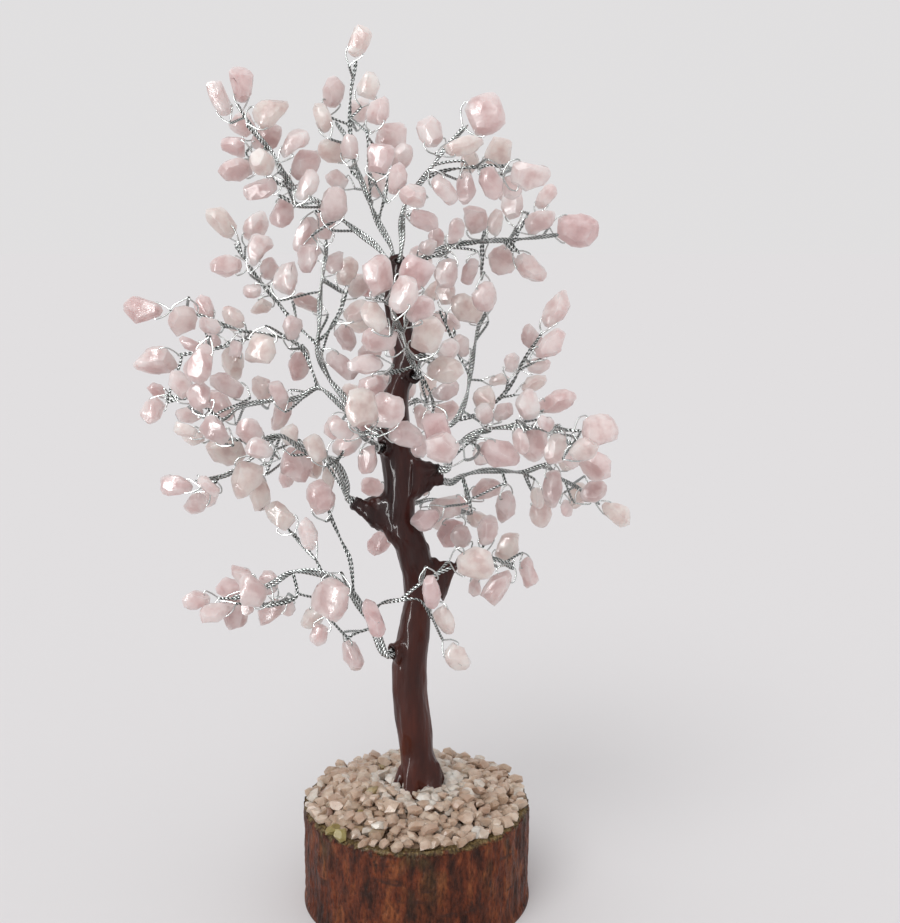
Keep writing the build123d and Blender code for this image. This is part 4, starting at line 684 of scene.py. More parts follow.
def seen(u, v, depth):
    """Place at a depth behind the trunk's plane that shows at pixel u, v of the view."""
    pitch = radians(VIEW_PITCH_DEGREES)
    across = (u - MIDDLE_U_PIXELS) / FOCUS_PIXELS
    down = (v - MIDDLE_V_PIXELS) / FOCUS_PIXELS
    reach = (VIEW_DISTANCE + depth) / (cos(pitch) - down * sin(pitch))
    rise = VIEW_RISE - (sin(pitch) + down * cos(pitch)) * reach
    return Vector((VIEW_ASIDE + across * reach, depth, LOG_HEIGHT + rise))


def branch_places(branch):
    """Gives the places of a branch's pixel positions, whose depth changes from its mouth to its tips."""
    mouth_u, mouth_v, mouth_share = branch["stub"][1]
    reach = max(hypot(gem[0] - mouth_u, gem[1] - mouth_v) for gem in branch["gems"])

    def place(u, v, shift_share):
        out_share = hypot(u - mouth_u, v - mouth_v) / reach
        depth_share = mouth_share + (branch["depth"] - mouth_share) * out_share + shift_share
        return seen(u, v, depth_share * CROWN_DEPTH)

    return place


def stub_mouth(name):
    """Mouth of a branch's stub, and the way out of it."""
    (root_u, root_v, root_share), (mouth_u, mouth_v, mouth_share) = BRANCH_PIXELS_AND_SHARES[name]["stub"]
    root = seen(root_u, root_v, root_share * CROWN_DEPTH)
    mouth = seen(mouth_u, mouth_v, mouth_share * CROWN_DEPTH)
    return mouth, (mouth - root).normalized()


def routes(name, branch):
    """Kind, radii and points of each bundle, spray and twig of a branch."""
    place = branch_places(branch)
    mouth, way_out = stub_mouth(name)
    found = []
    for start_kind, end_kind, row in branch["wires"]:
        points = [place(*spot) for spot in row]
        if not found:
            points = [mouth - way_out * BUNDLE_SEAT, mouth + way_out * BUNDLE_STRAIGHT] + points
        start_radius, end_radius = BUNDLES[start_kind][0], BUNDLES[end_kind][0]
        last = len(points) - 1
        radii = [start_radius + (end_radius - start_radius) * number / last for number in range(last + 1)]
        found.append((start_kind, radii, points))
    return found


def carrier_spot(branch_routes, centre, size):
    """Point and direction of the routes where a gem's wire comes from."""
    best = None
    for number, (kind, radii, points) in enumerate(branch_routes):
        runs = list(zip(points, points[1:]))
        for start, end in runs if number else runs[1:]:
            run = end - start
            for step_share in CARRIER_STEP_SHARES:
                spot = start + run * step_share
                away = centre - spot
                lead = away.length
                backwards = lead if away.dot(run.normalized()) < 0 else 0
                cost = lead + backwards + SHORT_LEAD_COST * max(0.0, LEAST_LEAD + size - lead)
                if best is None or cost < best[0]:
                    best = (cost, spot, run.normalized())
    return best[1:]


def gem_frame(spot, centre, lean, number):
    """Length direction, width direction and face direction of a gem."""
    tilt_share = TILT_SHARES[number % len(TILT_SHARES)]
    turn = radians(TURN_DEGREES[number % len(TURN_DEGREES)])
    if lean is None:
        away = (centre - spot).normalized()
        along = (away + Vector((0, tilt_share * FREE_TILT_SHARE, 0))).normalized()
    else:
        along = Vector((sin(radians(lean)), tilt_share, cos(radians(lean)))).normalized()
    across = along.cross(Vector((0, -1, 0))).normalized()
    front = across.cross(along).normalized()
    width = (across * cos(turn) + front * sin(turn)).normalized()
    return along, width, width.cross(along).normalized()


def gem_corners(kind, length):
    """Three rings of a gem's corners in its own width, length and thickness directions."""
    width_share, outline_shares = GEM_SHARES[kind]
    half = GEM_THICKNESS * length / GEM_LENGTH / 2
    rings = []
    for level, grow in ((-half, GEM_FACE_SHARE), (0, 1), (half, GEM_FACE_SHARE)):
        rings.append([Vector((x * width_share * length * grow, y * length * grow, level))
                      for x, y in outline_shares])
    return rings


def box_middle(spots):
    """Middle of the box round some places."""
    return Vector([(min(row) + max(row)) / 2 for row in zip(*spots)])


def solid_middles(node):
    """Middle of each separate solid of a node of the frame."""
    only(copy_of(frame["nodes"][node], "solids"))
    in_edit("mesh.remove_doubles", threshold=MERGE_REACH)
    in_edit("mesh.separate", type="LOOSE")
    middles = []
    for piece in list(bpy.context.selected_objects):
        middles.append(box_middle([vertex.co for vertex in piece.data.vertices]))
        bpy.data.objects.remove(piece)
    return middles


def place_gems(name, branch, branch_routes):
    """Every gem of a branch, at the depth at which the frame has it."""
    place = branch_places(branch)
    middles = solid_middles(f"{name}_gems")
    gems = []
    for number, (u, v, shift_share, kind, size_share, lean) in enumerate(branch["gems"]):
        length = GEM_LENGTH * size_share
        best = None
        for sidestep_share in SIDESTEP_SHARES:
            centre = place(u, v, shift_share + sidestep_share)
            spot, way = carrier_spot(branch_routes, centre, length / 2)
            along, width, face = gem_frame(spot, centre, lean, number)
            turn = Matrix((width, along, face)).transposed()
            corners = [centre + turn @ corner for ring in gem_corners(kind, length) for corner in ring]
            miss = min((box_middle(corners) - middle).length for middle in middles)
            if best is None or miss < best[0]:
                best = (miss, {"kind": kind, "length": length, "centre": centre, "turn": turn,
                               "along": along, "width": width, "spot": spot, "way": way})
        gems.append(best[1])
    return gems


def edge_width(kind, length, side):
    """Distance of a gem's edge from its middle line, abreast of its hole, on one side."""
    width_share, outline_shares = GEM_SHARES[kind]
    crossings = []
    for (x1, y1), (x2, y2) in zip(outline_shares, outline_shares[1:] + outline_shares[:1]):
        if (y1 + HOLE_PLACE_SHARE) * (y2 + HOLE_PLACE_SHARE) < 0:
            crossings.append(x1 + (x2 - x1) * (-HOLE_PLACE_SHARE - y1) / (y2 - y1))
    reach = max(crossings) if side > 0 else -min(crossings)
    return reach * width_share * length


def smooth_line(points, radii, step):
    """Rounded line through the points, as places and radii about a step apart."""
    marks = [0.0]
    for start, end in zip(points, points[1:]):
        marks.append(marks[-1] + (end - start).length)
    last = len(points) - 1
    slopes = []
    for number in range(last + 1):
        low, high = max(number - 1, 0), min(number + 1, last)
        slopes.append((points[high] - points[low]) / (marks[high] - marks[low]))
    line = []
    for number in range(last):
        run = marks[number + 1] - marks[number]
        count = max(2, round(run / step))
        for part in range(count + (number == last - 1)):
            t = part / count
            place = (points[number] * (2 * t ** 3 - 3 * t ** 2 + 1)
                     + points[number + 1] * (3 * t ** 2 - 2 * t ** 3)
                     + slopes[number] * (run * (t ** 3 - 2 * t ** 2 + t))
                     + slopes[number + 1] * (run * (t ** 3 - t ** 2)))
            line.append((place, radii[number] + (radii[number + 1] - radii[number]) * t))
    return line


def twisted(line, wires, turn_length, end_side=None):
    """Wires wound round a line, as places, radii and middles; a pair can end on a given side."""
    line = [spot[:2] for spot in line]
    last = len(line) - 1
    ways = [(line[min(i + 1, last)][0] - line[max(i - 1, 0)][0]).normalized() for i in range(last + 1)]
    side = ways[0].orthogonal().normalized()
    sides, angles, angle = [], [], 0.0
    for number, way in enumerate(ways):
        side = (side - way * side.dot(way)).normalized()
        sides.append(side)
        if number:
            angle += 2 * pi * (line[number][0] - line[number - 1][0]).length / turn_length
        angles.append(angle)
    shift = 0.0
    if end_side is not None:
        shift = atan2(end_side.dot(ways[-1].cross(sides[-1])), end_side.dot(sides[-1])) - angles[-1]
    found = []
    for wire in range(wires):
        strand = []
        for (place, radius), way, side, angle in zip(line, ways, sides, angles):
            wire_radius = radius * sin(pi / wires) / (1 + sin(pi / wires))
            about = angle + shift + 2 * pi * wire / wires
            out = side * cos(about) + way.cross(side) * sin(about)
            strand.append((place + out * (radius - wire_radius), wire_radius, place))
        found.append(strand)
    return found


def gem_wire(gem):
    """A gem's own wire: a twisted pair from its bundle to the fork, then round through the hole."""
    along, width, centre, length = gem["along"], gem["width"], gem["centre"], gem["length"]
    width_share, outline_shares = GEM_SHARES[gem["kind"]]
    fork = centre - along * (length / 2 + FORK_LENGTH)
    lead = (fork - gem["spot"]).length
    straight = (fork - gem["spot"]) / lead
    before = gem["spot"] + (gem["way"] + straight) * (LEAD_CURVE_SHARE * lead)
    after = fork - (along + straight) * (LEAD_CURVE_SHARE * lead)
    count = max(LEAST_LEAD_STEPS, round(lead * STEPS_A_TURN / PAIR_TURN))
    line = []
    for number in range(count + 1):
        t = number / count
        place = (gem["spot"] * (1 - t) ** 3 + before * (3 * t * (1 - t) ** 2)
                 + after * (3 * t ** 2 * (1 - t)) + fork * t ** 3)
        line.append((place, 2 * WIRE_RADIUS))
    first, second = twisted(line, 2, PAIR_TURN, width)
    inside = centre - along * (HOLE_PLACE_SHARE * length)
    legs = []
    for side, corner in ((1, outline_shares[1]), (-1, outline_shares[0])):
        hole_out = edge_width(gem["kind"], length, side) + HOLE_LEAD * LEG_SHARE
        corner_out = abs(corner[0]) * width_share * length + CORNER_LEAD * LEG_SHARE
        bend = centre + along * (corner[1] * length - WIRE_RADIUS) + width * (side * corner_out)
        legs.append([bend, inside + width * (side * hole_out)])
    loop = [first[-1][0]] + legs[0] + [inside] + legs[1][::-1] + [second[-1][0]]
    rounded = smooth_line(loop, [WIRE_RADIUS] * len(loop), LOOP_STEP)
    return first[:-1] + [(place, radius, place) for place, radius in rounded] + second[:-1][::-1]


def wire_piece(name, branch_routes, gems):
    """All the wires of a branch as one mesh, with the depth of the grooves between them, which the finish
    turns into painted shade.
    """
    curve = bpy.data.curves.new(f"{name}_wire_lines", "CURVE")
    curve.dimensions = "3D"
    curve.bevel_depth = 1.0
    curve.bevel_resolution = WIRE_ROUNDNESS
    curve.use_fill_caps = True
    strands = []
    for kind, radii, points in branch_routes:
        ropes, wires, turn_length = BUNDLES[kind][1:]
        swollen = [radius * ROPE_SWELL_SHARES[kind] for radius in radii]
        line = smooth_line(points, swollen, turn_length / STEPS_A_TURN)
        end, radius = line[-1]
        way = (end - line[-2][0]).normalized()
        line.append((end + way * (radius * TIP_LENGTH_SHARE), radius * TIP_SHARE))
        for rope in twisted(line, ropes, ROPE_TURN) if ropes > 1 else [line]:
            strands += twisted(rope, wires, turn_length)
    strands += [gem_wire(gem) for gem in gems]
    for strand in strands:
        spline = curve.splines.new("POLY")
        spline.points.add(len(strand) - 1)
        for point, (place, radius, middle) in zip(spline.points, strand):
            point.co = (*place, 1.0)
            point.radius = radius
    piece = bpy.data.objects.new(f"{name}_twisted_wires", curve)
    bpy.context.collection.objects.link(piece)
    only(piece)
    bpy.ops.object.convert(target="MESH")
    bpy.ops.object.shade_smooth()
    spots = [vertex.co for vertex in piece.data.vertices]
    caps = 2 * len(strands)
    corners = len(spots) // (sum(len(strand) for strand in strands) + caps)
    # Depth of each point in the grooves between strands, which the wire's finish darkens as painted shade
    grooves = [0.0] * (caps * corners)
    for strand in strands:
        for place, radius, middle in strand:
            reach = (place - middle).length + radius
            for spot in spots[len(grooves):len(grooves) + corners]:
                grooves.append(1 - min(1.0, (spot - middle).length / reach))
    mark(piece, "groove", grooves)
    in_edit("mesh.remove_doubles", threshold=WIRE_MERGE_REACH)
    return piece


def gem_master(kind):
    """A tumbled gem of unit length at the origin, along Y, its hole across X."""
    face = gem_corners(kind, 1.0)[0]
    bpy.ops.mesh.primitive_circle_add(vertices=len(face), fill_type="NGON")
    gem = bpy.context.active_object
    gem.name = f"{kind}_gem"
    for vertex, corner in zip(gem.data.vertices, face):
        vertex.co = corner
    bpy.ops.object.mode_set(mode="EDIT")
    for grow in (1 / GEM_FACE_SHARE, GEM_FACE_SHARE):
        bpy.ops.mesh.extrude_region_move(TRANSFORM_OT_translate={"value": (0, 0, -face[0].z)})
        bpy.ops.transform.resize(value=(grow, grow, 1), center_override=(0, 0, 0))
    bpy.ops.mesh.select_all(action="SELECT")
    bpy.ops.transform.edge_crease(value=GEM_CREASE)
    bpy.ops.mesh.normals_make_consistent()
    bpy.ops.object.mode_set(mode="OBJECT")
    return apply(gem, "SUBSURF", levels=1, render_levels=1)


def break_off(gem, chance):
    """Cuts broken faces on a unit gem, away from its hole."""
    for _ in range(GEM_CUTS):
        about = radians(chance.uniform(*GEM_CUT_DEGREES))
        way = Vector((cos(about), sin(about), chance.uniform(-GEM_CUT_SLOPE, GEM_CUT_SLOPE))).normalized()
        reach = max(vertex.co.dot(way) for vertex in gem.data.vertices) * chance.uniform(*GEM_CUT_SHARES)
        only(gem)
        in_edit("mesh.bisect", plane_co=way * reach, plane_no=way, use_fill=True, clear_outer=True)


def gem_piece(name, masters, gems, chance):
    """All the gems of a branch as one mesh, each with its own broken faces, lumps and tone."""
    copies = []
    for number, gem in enumerate(gems):
        copy = copy_of(masters[gem["kind"]], f"{name}_gem_{number}")
        break_off(copy, chance)
        size = gem["length"] * GEM_SWELL_SHARE
        turn = gem["turn"].to_quaternion()
        copy.data.transform(Matrix.LocRotScale(gem["centre"], turn, (size, size, size)))
        mark(copy, "tone", [chance.random()] * len(copy.data.vertices))
        copies.append(copy)
    piece = joined(copies, f"{name}_rose_quartz")
    roughen(piece, "gem_lumps", "CLOUDS", GEM_LUMP_SIZE, GEM_LUMP, GEM_LUMP_MIDDLE)
    only(piece)
    bpy.ops.object.shade_smooth_by_angle(angle=radians(GEM_EDGE_DEGREES))
    return piece


def trunk_piece():
    """Lacquered trunk: the frame's coat with thicker stubs and roots, lumps and ragged stub mouths."""
    piece = copy_of(frame["nodes"]["trunk_coat"], "painted_trunk")
    only(piece)
    in_edit("mesh.remove_doubles", threshold=TRUNK_MERGE_REACH)
    limbs = []
    for name, (root_u, root_v, half_height) in HORN_PIXELS.items():
        mouth, way_out = stub_mouth(name)
        tip_radius = BUNDLES[BRANCH_PIXELS_AND_SHARES[name]["size"]][0] + STUB_WALL * HORN_TIP_SHARE
        limbs.append(limb(seen(root_u, root_v, 0), mouth - way_out * HORN_SETBACK,
                          half_height * VIEW_DISTANCE / FOCUS_PIXELS, tip_radius, HORN_DEPTH_SHARE))
    for start, end, start_radius, end_radius in ROOT_LIMBS:
        limbs.append(limb(Vector(start), Vector(end), start_radius, end_radius, 1.0))
    mouth, way_out = stub_mouth(COLLAR_BRANCH)
    round_count, ring_count = COLLAR_SIDES
    bpy.ops.mesh.primitive_torus_add(location=mouth - way_out * COLLAR_SETBACK, rotation=facing(way_out),
                                     major_radius=COLLAR_RADIUS, minor_radius=COLLAR_THICKNESS,
                                     major_segments=round_count, minor_segments=ring_count)
    limbs.append(settled())
    piece = joined([piece] + limbs, "painted_trunk")
    apply(piece, "REMESH", mode="VOXEL", voxel_size=TRUNK_GRAIN)
    apply(piece, "SMOOTH", factor=TRUNK_SMOOTHING_SHARE, iterations=TRUNK_SMOOTHING)
    for name in HORN_PIXELS:
        taper(piece, *stub_mouth(name))
    mouths = piece.vertex_groups.new(name="mouths")
    ends = [stub_mouth(name)[0] for name in BRANCH_PIXELS_AND_SHARES]
    for vertex in piece.data.vertices:
        reach = min((vertex.co - end).length for end in ends)
        if reach < MOUTH_REACH:
            mouths.add([vertex.index], 1 - reach / MOUTH_REACH, "REPLACE")
    stretch(piece, 1 / TRUNK_STRETCH)
    roughen(piece, "trunk_lumps", "CLOUDS", TRUNK_LUMP_SIZE, TRUNK_LUMP, TRUNK_LUMP_MIDDLE)
    stretch(piece, TRUNK_STRETCH)
    roughen(piece, "mouth_rags", "CLOUDS", MOUTH_RAG_SIZE, MOUTH_RAG, MOUTH_RAG_MIDDLE, "mouths")
    # Darker round the stub mouths, by the weights of the mouths group
    mark(piece, "mouth_darkening", [sum(group.weight for group in vertex.groups) for vertex in piece.data.vertices])
    only(piece)
    bpy.ops.object.shade_smooth()
    return piece


def limb(start, end, start_radius, end_radius, depth_share):
    """Tapered limb between two places, made shallower from front to back."""
    way = end - start
    bpy.ops.mesh.primitive_cone_add(vertices=LIMB_SIDES, radius1=start_radius, radius2=end_radius,
                                    depth=way.length, location=(start + end) / 2, rotation=facing(way))
    piece = settled()
    in_edit("transform.resize", value=(1, depth_share, 1), center_override=start)
    return piece


def taper(piece, mouth, way_out):
    """Thins the end of a stub round its mouth, less and less further in."""
    only(piece)
    width = HORN_TAPER_WIDTH_SHARE * HORN_TAPER_START
    away = [vertex.co - mouth for vertex in piece.data.vertices]
    pick(piece, [abs(spot.dot(way_out)) < HORN_TAPER_START and spot.length < width for spot in away])
    bpy.ops.object.mode_set(mode="EDIT")
    bpy.ops.transform.resize(value=(HORN_TAPER, HORN_TAPER, HORN_TAPER), center_override=mouth,
                             use_proportional_edit=True, proportional_edit_falloff="SMOOTH",
                             proportional_size=HORN_TAPER_REACH)
    bpy.ops.object.mode_set(mode="OBJECT")


def stretch(piece, share):
    """Stretches a piece along Z about the origin."""
    only(piece)
    in_edit("transform.resize", value=(1, 1, share), center_override=(0, 0, 0))


def bark_piece():
    """Ring of varnished bark: a fine-meshed wall with plates and fibres, and a carved top rim."""
    bpy.ops.mesh.primitive_circle_add(vertices=BARK_COLUMNS, radius=LOG_RADIUS)
    piece = bpy.context.active_object
    piece.name = "log_bark"
    inner_share = (LOG_RADIUS - BARK_THICKNESS) / LOG_RADIUS
    bevel_share = (LOG_RADIUS - RIM_BEVEL) / LOG_RADIUS
    bpy.ops.object.mode_set(mode="EDIT")
    bpy.ops.mesh.select_all(action="SELECT")
    grow_wall(1, 0, inner_share)
    bpy.ops.object.mode_set(mode="OBJECT")
    middle = LOG_RADIUS * (1 + inner_share) / 2
    pick(piece, [hypot(vertex.co.x, vertex.co.y) > middle for vertex in piece.data.vertices])
    bpy.ops.object.mode_set(mode="EDIT")
    grow_wall(BARK_ROWS, LOG_HEIGHT - RIM_BEVEL, 1)
    grow_wall(RIM_ROWS, RIM_BEVEL, bevel_share)
    grow_wall(RIM_ROWS, 0, inner_share / bevel_share)
    bpy.ops.mesh.extrude_edges_move(TRANSFORM_OT_translate={"value": (0, 0, -LOG_HEIGHT)})
    bpy.ops.mesh.select_all(action="SELECT")
    bpy.ops.mesh.remove_doubles(threshold=MERGE_REACH)
    bpy.ops.mesh.normals_make_consistent()
    bpy.ops.object.mode_set(mode="OBJECT")
    wall = piece.vertex_groups.new(name="wall")
    rim = piece.vertex_groups.new(name="rim")
    for vertex in piece.data.vertices:
        to_edge = min(LOG_HEIGHT - vertex.co.z, vertex.co.z)
        if vertex.co.xy.length > LOG_RADIUS * bevel_share:
            wall.add([vertex.index], min(1.0, max(0.0, to_edge / WALL_FADE - WALL_FADE_START)), "REPLACE")
        if vertex.co.xy.length > LOG_RADIUS * inner_share and vertex.co.z > LOG_HEIGHT - WALL_FADE:
            rim.add([vertex.index], 1.0, "REPLACE")
    stretch(piece, 1 / BARK_STRETCH)
    roughen(piece, "bark_plates", "CLOUDS", BARK_PLATE_SIZE, BARK_PLATE, CARVED_IN, "wall")
    roughen(piece, "bark_fibres", "MUSGRAVE", BARK_FIBRE_SIZE, BARK_FIBRE, CARVED_IN, "wall",
            musgrave_type="RIDGED_MULTIFRACTAL")
    stretch(piece, BARK_STRETCH)
    roughen(piece, "rim_carving", "CLOUDS", RIM_CARVE_SIZE, RIM_CARVE, CARVED_IN, "rim")
    for vertex in piece.data.vertices:
        vertex.co.z = min(max(vertex.co.z, cad_box[0][2]), LOG_HEIGHT)
        out = hypot(vertex.co.x, vertex.co.y)
        if out > LOG_RADIUS:
            vertex.co.xy = vertex.co.xy * (LOG_RADIUS / out)
    only(piece)
    bpy.ops.object.shade_smooth()
    return piece


def grow_wall(rows, rise, share):
    """Extrudes the selected ring of edges in rows, by a rise and to a share of its radius in all."""
    for _ in range(rows):
        bpy.ops.mesh.extrude_edges_move(TRANSFORM_OT_translate={"value": (0, 0, rise / rows)})
        if share != 1:
            step_share = share ** (1 / rows)
            bpy.ops.transform.resize(value=(step_share, step_share, 1), center_override=(0, 0, 0))


def chip_masters(chance):
    """Crushed quartz chips at the origin, each cut by its own broken faces."""
    masters = []
    for number in range(CHIP_KINDS):
        bpy.ops.mesh.primitive_ico_sphere_add(subdivisions=1, radius=CHIP_START_RADIUS)
        chip = bpy.context.active_object
        chip.name = f"chip_{number}"
        width, thickness = chance.uniform(*CHIP_WIDTH_SHARES), chance.uniform(*CHIP_THICKNESS_SHARES)
        chip.data.transform(Matrix.Diagonal((1, width, thickness, 1)))
        for _ in range(CHIP_CUTS):
            across, along = chance.uniform(-1, 1), chance.uniform(-1, 1)
            way = Vector((across, along, chance.uniform(-CHIP_CUT_SLOPE, CHIP_CUT_SLOPE))).normalized()
            in_edit("mesh.bisect", plane_co=way * chance.uniform(*CHIP_CUT_REACHES), plane_no=way,
                    use_fill=True, clear_outer=True)
        masters.append(chip)
    return masters


def chip_layer(number, masters, chance):
    """One layer of loose chips, heaped within the space that the frame gives it."""
    low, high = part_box(f"quartz_chips_{number}")
    foot_v, foot_left, foot_right = TRUNK_FOOT_PIXELS
    foot = seen((foot_left + foot_right) / 2, foot_v, 0)
    radius, count = CHIP_REACHES[number - 1], CHIP_COUNTS[number - 1]
    copies = []
    for index in range(count):
        out = radius * ((index + 0.5) / count) ** 0.5
        about = radians(CHIP_TURN_DEGREES) * index + number
        place = Vector((out * cos(about), out * sin(about), 0))
        place += Vector((chance.uniform(-1, 1), chance.uniform(-1, 1), 0)) * CHIP_STRAY
        if hypot(place.x, place.y) > radius:
            place *= radius / hypot(place.x, place.y)
        from_foot = hypot(place.x - foot.x, place.y - foot.y)
        if from_foot < FOOT_ROOM:
            continue
        copy = copy_of(masters[chance.randrange(CHIP_KINDS)], f"chip_{number}_{index}")
        size = CHIP_LENGTH * chance.uniform(*CHIP_SIZE_SHARES)
        turn = Matrix.Rotation(chance.uniform(0, 2 * pi), 3, "Z")
        turn = turn @ Matrix.Rotation(chance.uniform(-CHIP_TILT, CHIP_TILT), 3, "X")
        copy.data.transform(turn.to_4x4() @ Matrix.Diagonal((size, size, size, 1)))
        heights = [vertex.co.z for vertex in copy.data.vertices]
        seat = CHIP_EDGE_SEAT if place.length > LOG_RADIUS - 2 * BARK_THICKNESS else low.z
        room = max(0.0, high.z - low.z - max(heights) + min(heights))
        lowest = seat - min(heights) + chance.uniform(0, room)
        place.z = min(lowest, high.z + CHIP_STRAY - max(heights))
        copy.data.transform(Matrix.Translation(place))
        tone = chance.random()
        if from_foot < CLEAR_REACH * chance.uniform(*CLEAR_REACH_SHARES):
            tone = CLEAR_TONE + CLEAR_TONE_SPREAD * tone
        mark(copy, "tone", [tone] * len(copy.data.vertices))
        copies.append(copy)
    piece = joined(copies, f"crushed_quartz_{number}")
    bpy.ops.object.shade_flat()
    return piece


def linear(red, green, blue):
    """Colour from the shades that a screen shows, each from 0 to 255."""
    shares = [shade / 255 for shade in (red, green, blue)]
    lit = [((share + 0.055) / 1.055) ** 2.4 if share > 0.04 else share / 12.92 for share in shares]
    return (*lit, 1.0)


def add(tree, kind, settings=None, **inputs):
    """Adds a node, with its settings and the values or links of its inputs."""
    node = tree.nodes.new(kind)
    for setting, value in (settings or {}).items():
        setattr(node, setting, value)
    for name, value in inputs.items():
        feed(tree, node.inputs[name.replace("_", " ")], value)
    return node


def feed(tree, socket, value):
    """Links a socket to another one, or sets its value."""
    if isinstance(value, bpy.types.NodeSocket):
        tree.links.new(value, socket)
    else:
        socket.default_value = value


def ramp(tree, factor, stops):
    """Colour ramp over a value."""
    node = tree.nodes.new("ShaderNodeValToRGB")
    elements = node.color_ramp.elements
    for element, (place, colour) in zip(elements, (stops[0], stops[-1])):
        element.position = place
        element.color = colour
    for place, colour in stops[1:-1]:
        elements.new(place).color = colour
    tree.links.new(factor, node.inputs["Fac"])
    return node.outputs["Color"]


def shades(tree, factor, stops):
    """Ramp of colours given as a place and a screen's red, green and blue."""
    return ramp(tree, factor, [(place, linear(*shade)) for place, *shade in stops])


def mask(tree, factor, stops):
    """Ramp of grey levels."""
    return ramp(tree, factor, [(place, (level, level, level, 1)) for place, level in stops])


def part_of(tree, value, **span):
    """Value spread from its own span to another one."""
    return add(tree, "ShaderNodeMapRange", Value=value, **span).outputs["Result"]


def named(tree, attribute):
    """Value that a piece's vertices carry under a name."""
    return add(tree, "ShaderNodeAttribute", {"attribute_name": attribute}).outputs["Fac"]


def blend(tree, factor, first, second, kind="MIX"):
    """Mix of two colours by a factor."""
    node = add(tree, "ShaderNodeMix", {"data_type": "RGBA", "blend_type": kind})
    for number, value in ((0, factor), (6, first), (7, second)):
        feed(tree, node.inputs[number], value)
    return node.outputs[2]


def cloud_group():
    """Node group: soft cloudy patches and a finer grain, each as a shade from 0 to 1."""
    group = bpy.data.node_groups.new("cloudy_patches", "ShaderNodeTree")
    group.interface.new_socket(name="Vector", in_out="INPUT", socket_type="NodeSocketVector")
    for name, side in (("Patch scale", "INPUT"), ("Grain scale", "INPUT"),
                       ("Patches", "OUTPUT"), ("Grain", "OUTPUT")):
        group.interface.new_socket(name=name, in_out=side, socket_type="NodeSocketFloat")
    start = group.nodes.new("NodeGroupInput")
    end = group.nodes.new("NodeGroupOutput")
    for number, settings in enumerate((PATCH_NOISE, GRAIN_NOISE)):
        noise = add(group, "ShaderNodeTexNoise", Vector=start.outputs[0], Scale=start.outputs[number + 1],
                    **settings)
        group.links.new(noise.outputs["Fac"], end.inputs[number])
    return group


def clouds_on(tree, clouds, where, stretch_to, patch_scale, grain_scale):
    """Cloudy patches and grain at a place, stretched."""
    node = tree.nodes.new("ShaderNodeGroup")
    node.node_tree = clouds
    spread = add(tree, "ShaderNodeMapping", Vector=where, Scale=stretch_to).outputs["Vector"]
    for name, value in (("Vector", spread), ("Patch scale", patch_scale), ("Grain scale", grain_scale)):
        feed(tree, node.inputs[name], value)
    return node.outputs["Patches"], node.outputs["Grain"]


def finish_of(name, clouds):
    """A new material by its row of the table, with its tree, place, patches and grain."""
    row = FINISHES[name]
    material = bpy.data.materials.new(name)
    material.use_nodes = True
    tree = material.node_tree
    shader = tree.nodes["Principled BSDF"]
    where = tree.nodes.new("ShaderNodeTexCoord").outputs["Object"]
    patches, grain = clouds_on(tree, clouds, where, *row["pattern"])
    smooth, rough = row["roughness"]
    feed(tree, shader.inputs["Roughness"], part_of(tree, grain, To_Min=smooth, To_Max=rough))
    for socket, value in row["constants"].items():
        shader.inputs[socket].default_value = value
    if "relief" in row:
        depth, strength = row["relief"]
        height = patches if row.get("soft") else grain
        bump = add(tree, "ShaderNodeBump", Height=height, Strength=strength, Distance=depth)
        feed(tree, shader.inputs["Normal"], bump.outputs["Normal"])
    return material, tree, where, patches, grain


def colour(material, shade):
    """Gives a material its colour and returns it."""
    feed(material.node_tree, material.node_tree.nodes["Principled BSDF"].inputs["Base Color"], shade)
    return material


# Each finish: its pattern as stretch, scale of the patches and scale of the grain, its roughness from
# smooth to rough, the depth and strength of its relief, which is soft where the patches make it,
# and the constants of its shader
PATCH_NOISE = {"Detail": 3.0}
GRAIN_NOISE = {"Detail": 4.0, "Roughness": 0.6}
FINISHES = {
    "rose_quartz": {
        "pattern": ((1, 1, 1), 230.0, 520.0), "roughness": (0.12, 0.34), "relief": (0.0007, 0.6),
        "soft": True, "constants": {"IOR": 1.54, "Subsurface Weight": 0.85, "Subsurface Scale": 0.010,
                                    "Subsurface Radius": (1.0, 0.82, 0.8)}},
    "crushed_quartz": {
        "pattern": ((1, 1, 1), 300.0, 1500.0), "roughness": (0.18, 0.45), "relief": (0.0002, 0.6),
        "constants": {"IOR": 1.5, "Transmission Weight": 0.2, "Subsurface Weight": 0.3,
                      "Subsurface Radius": (1.0, 0.8, 0.7), "Subsurface Scale": 0.002}},
    "silver_wire": {
        "pattern": ((1, 1, 1), 240.0, 2200.0), "roughness": (0.16, 0.36), "constants": {"Metallic": 1.0}},
    "brown_lacquer": {
        "pattern": ((1, 1, 0.22), 160.0, 700.0), "roughness": (0.34, 0.5), "relief": (0.0006, 0.6),
        "constants": {"Specular IOR Level": 0.1, "Coat Weight": 0.4, "Coat Roughness": 0.04}},
    "varnished_bark": {
        "pattern": ((1, 1, 0.38), 240.0, 1100.0), "roughness": (0.6, 0.34), "relief": (0.0009, 1.0),
        "constants": {"Specular IOR Level": 0.18, "Coat Weight": 0.07, "Coat Roughness": 0.12}},
    "set_glue": {
        "pattern": ((1, 1, 1), 150.0, 800.0), "roughness": (0.15, 0.35), "relief": (0.0003, 0.6),
        "constants": {}},
    "sawn_wood": {
        "pattern": ((1, 1, 1), 60.0, 900.0), "roughness": (0.6, 0.85), "relief": (0.0003, 0.6),
        "constants": {}},
    "steel_core": {
        "pattern": ((1, 1, 0.1), 200.0, 1500.0), "roughness": (0.25, 0.5),
        "constants": {"Metallic": 1.0}},
}
RING_WAVE = {"Scale": 160.0, "Distortion": 3.0, "Detail": 2.0}
STAIN_PATTERN = ((1, 1, 0.55), 95.0, 330.0)
FOLD_PATTERN = ((0.5, 0.5, 2.4), 120.0, 400.0)
FULL, STRONG, MEDIUM = 1.0, 0.9, 0.8

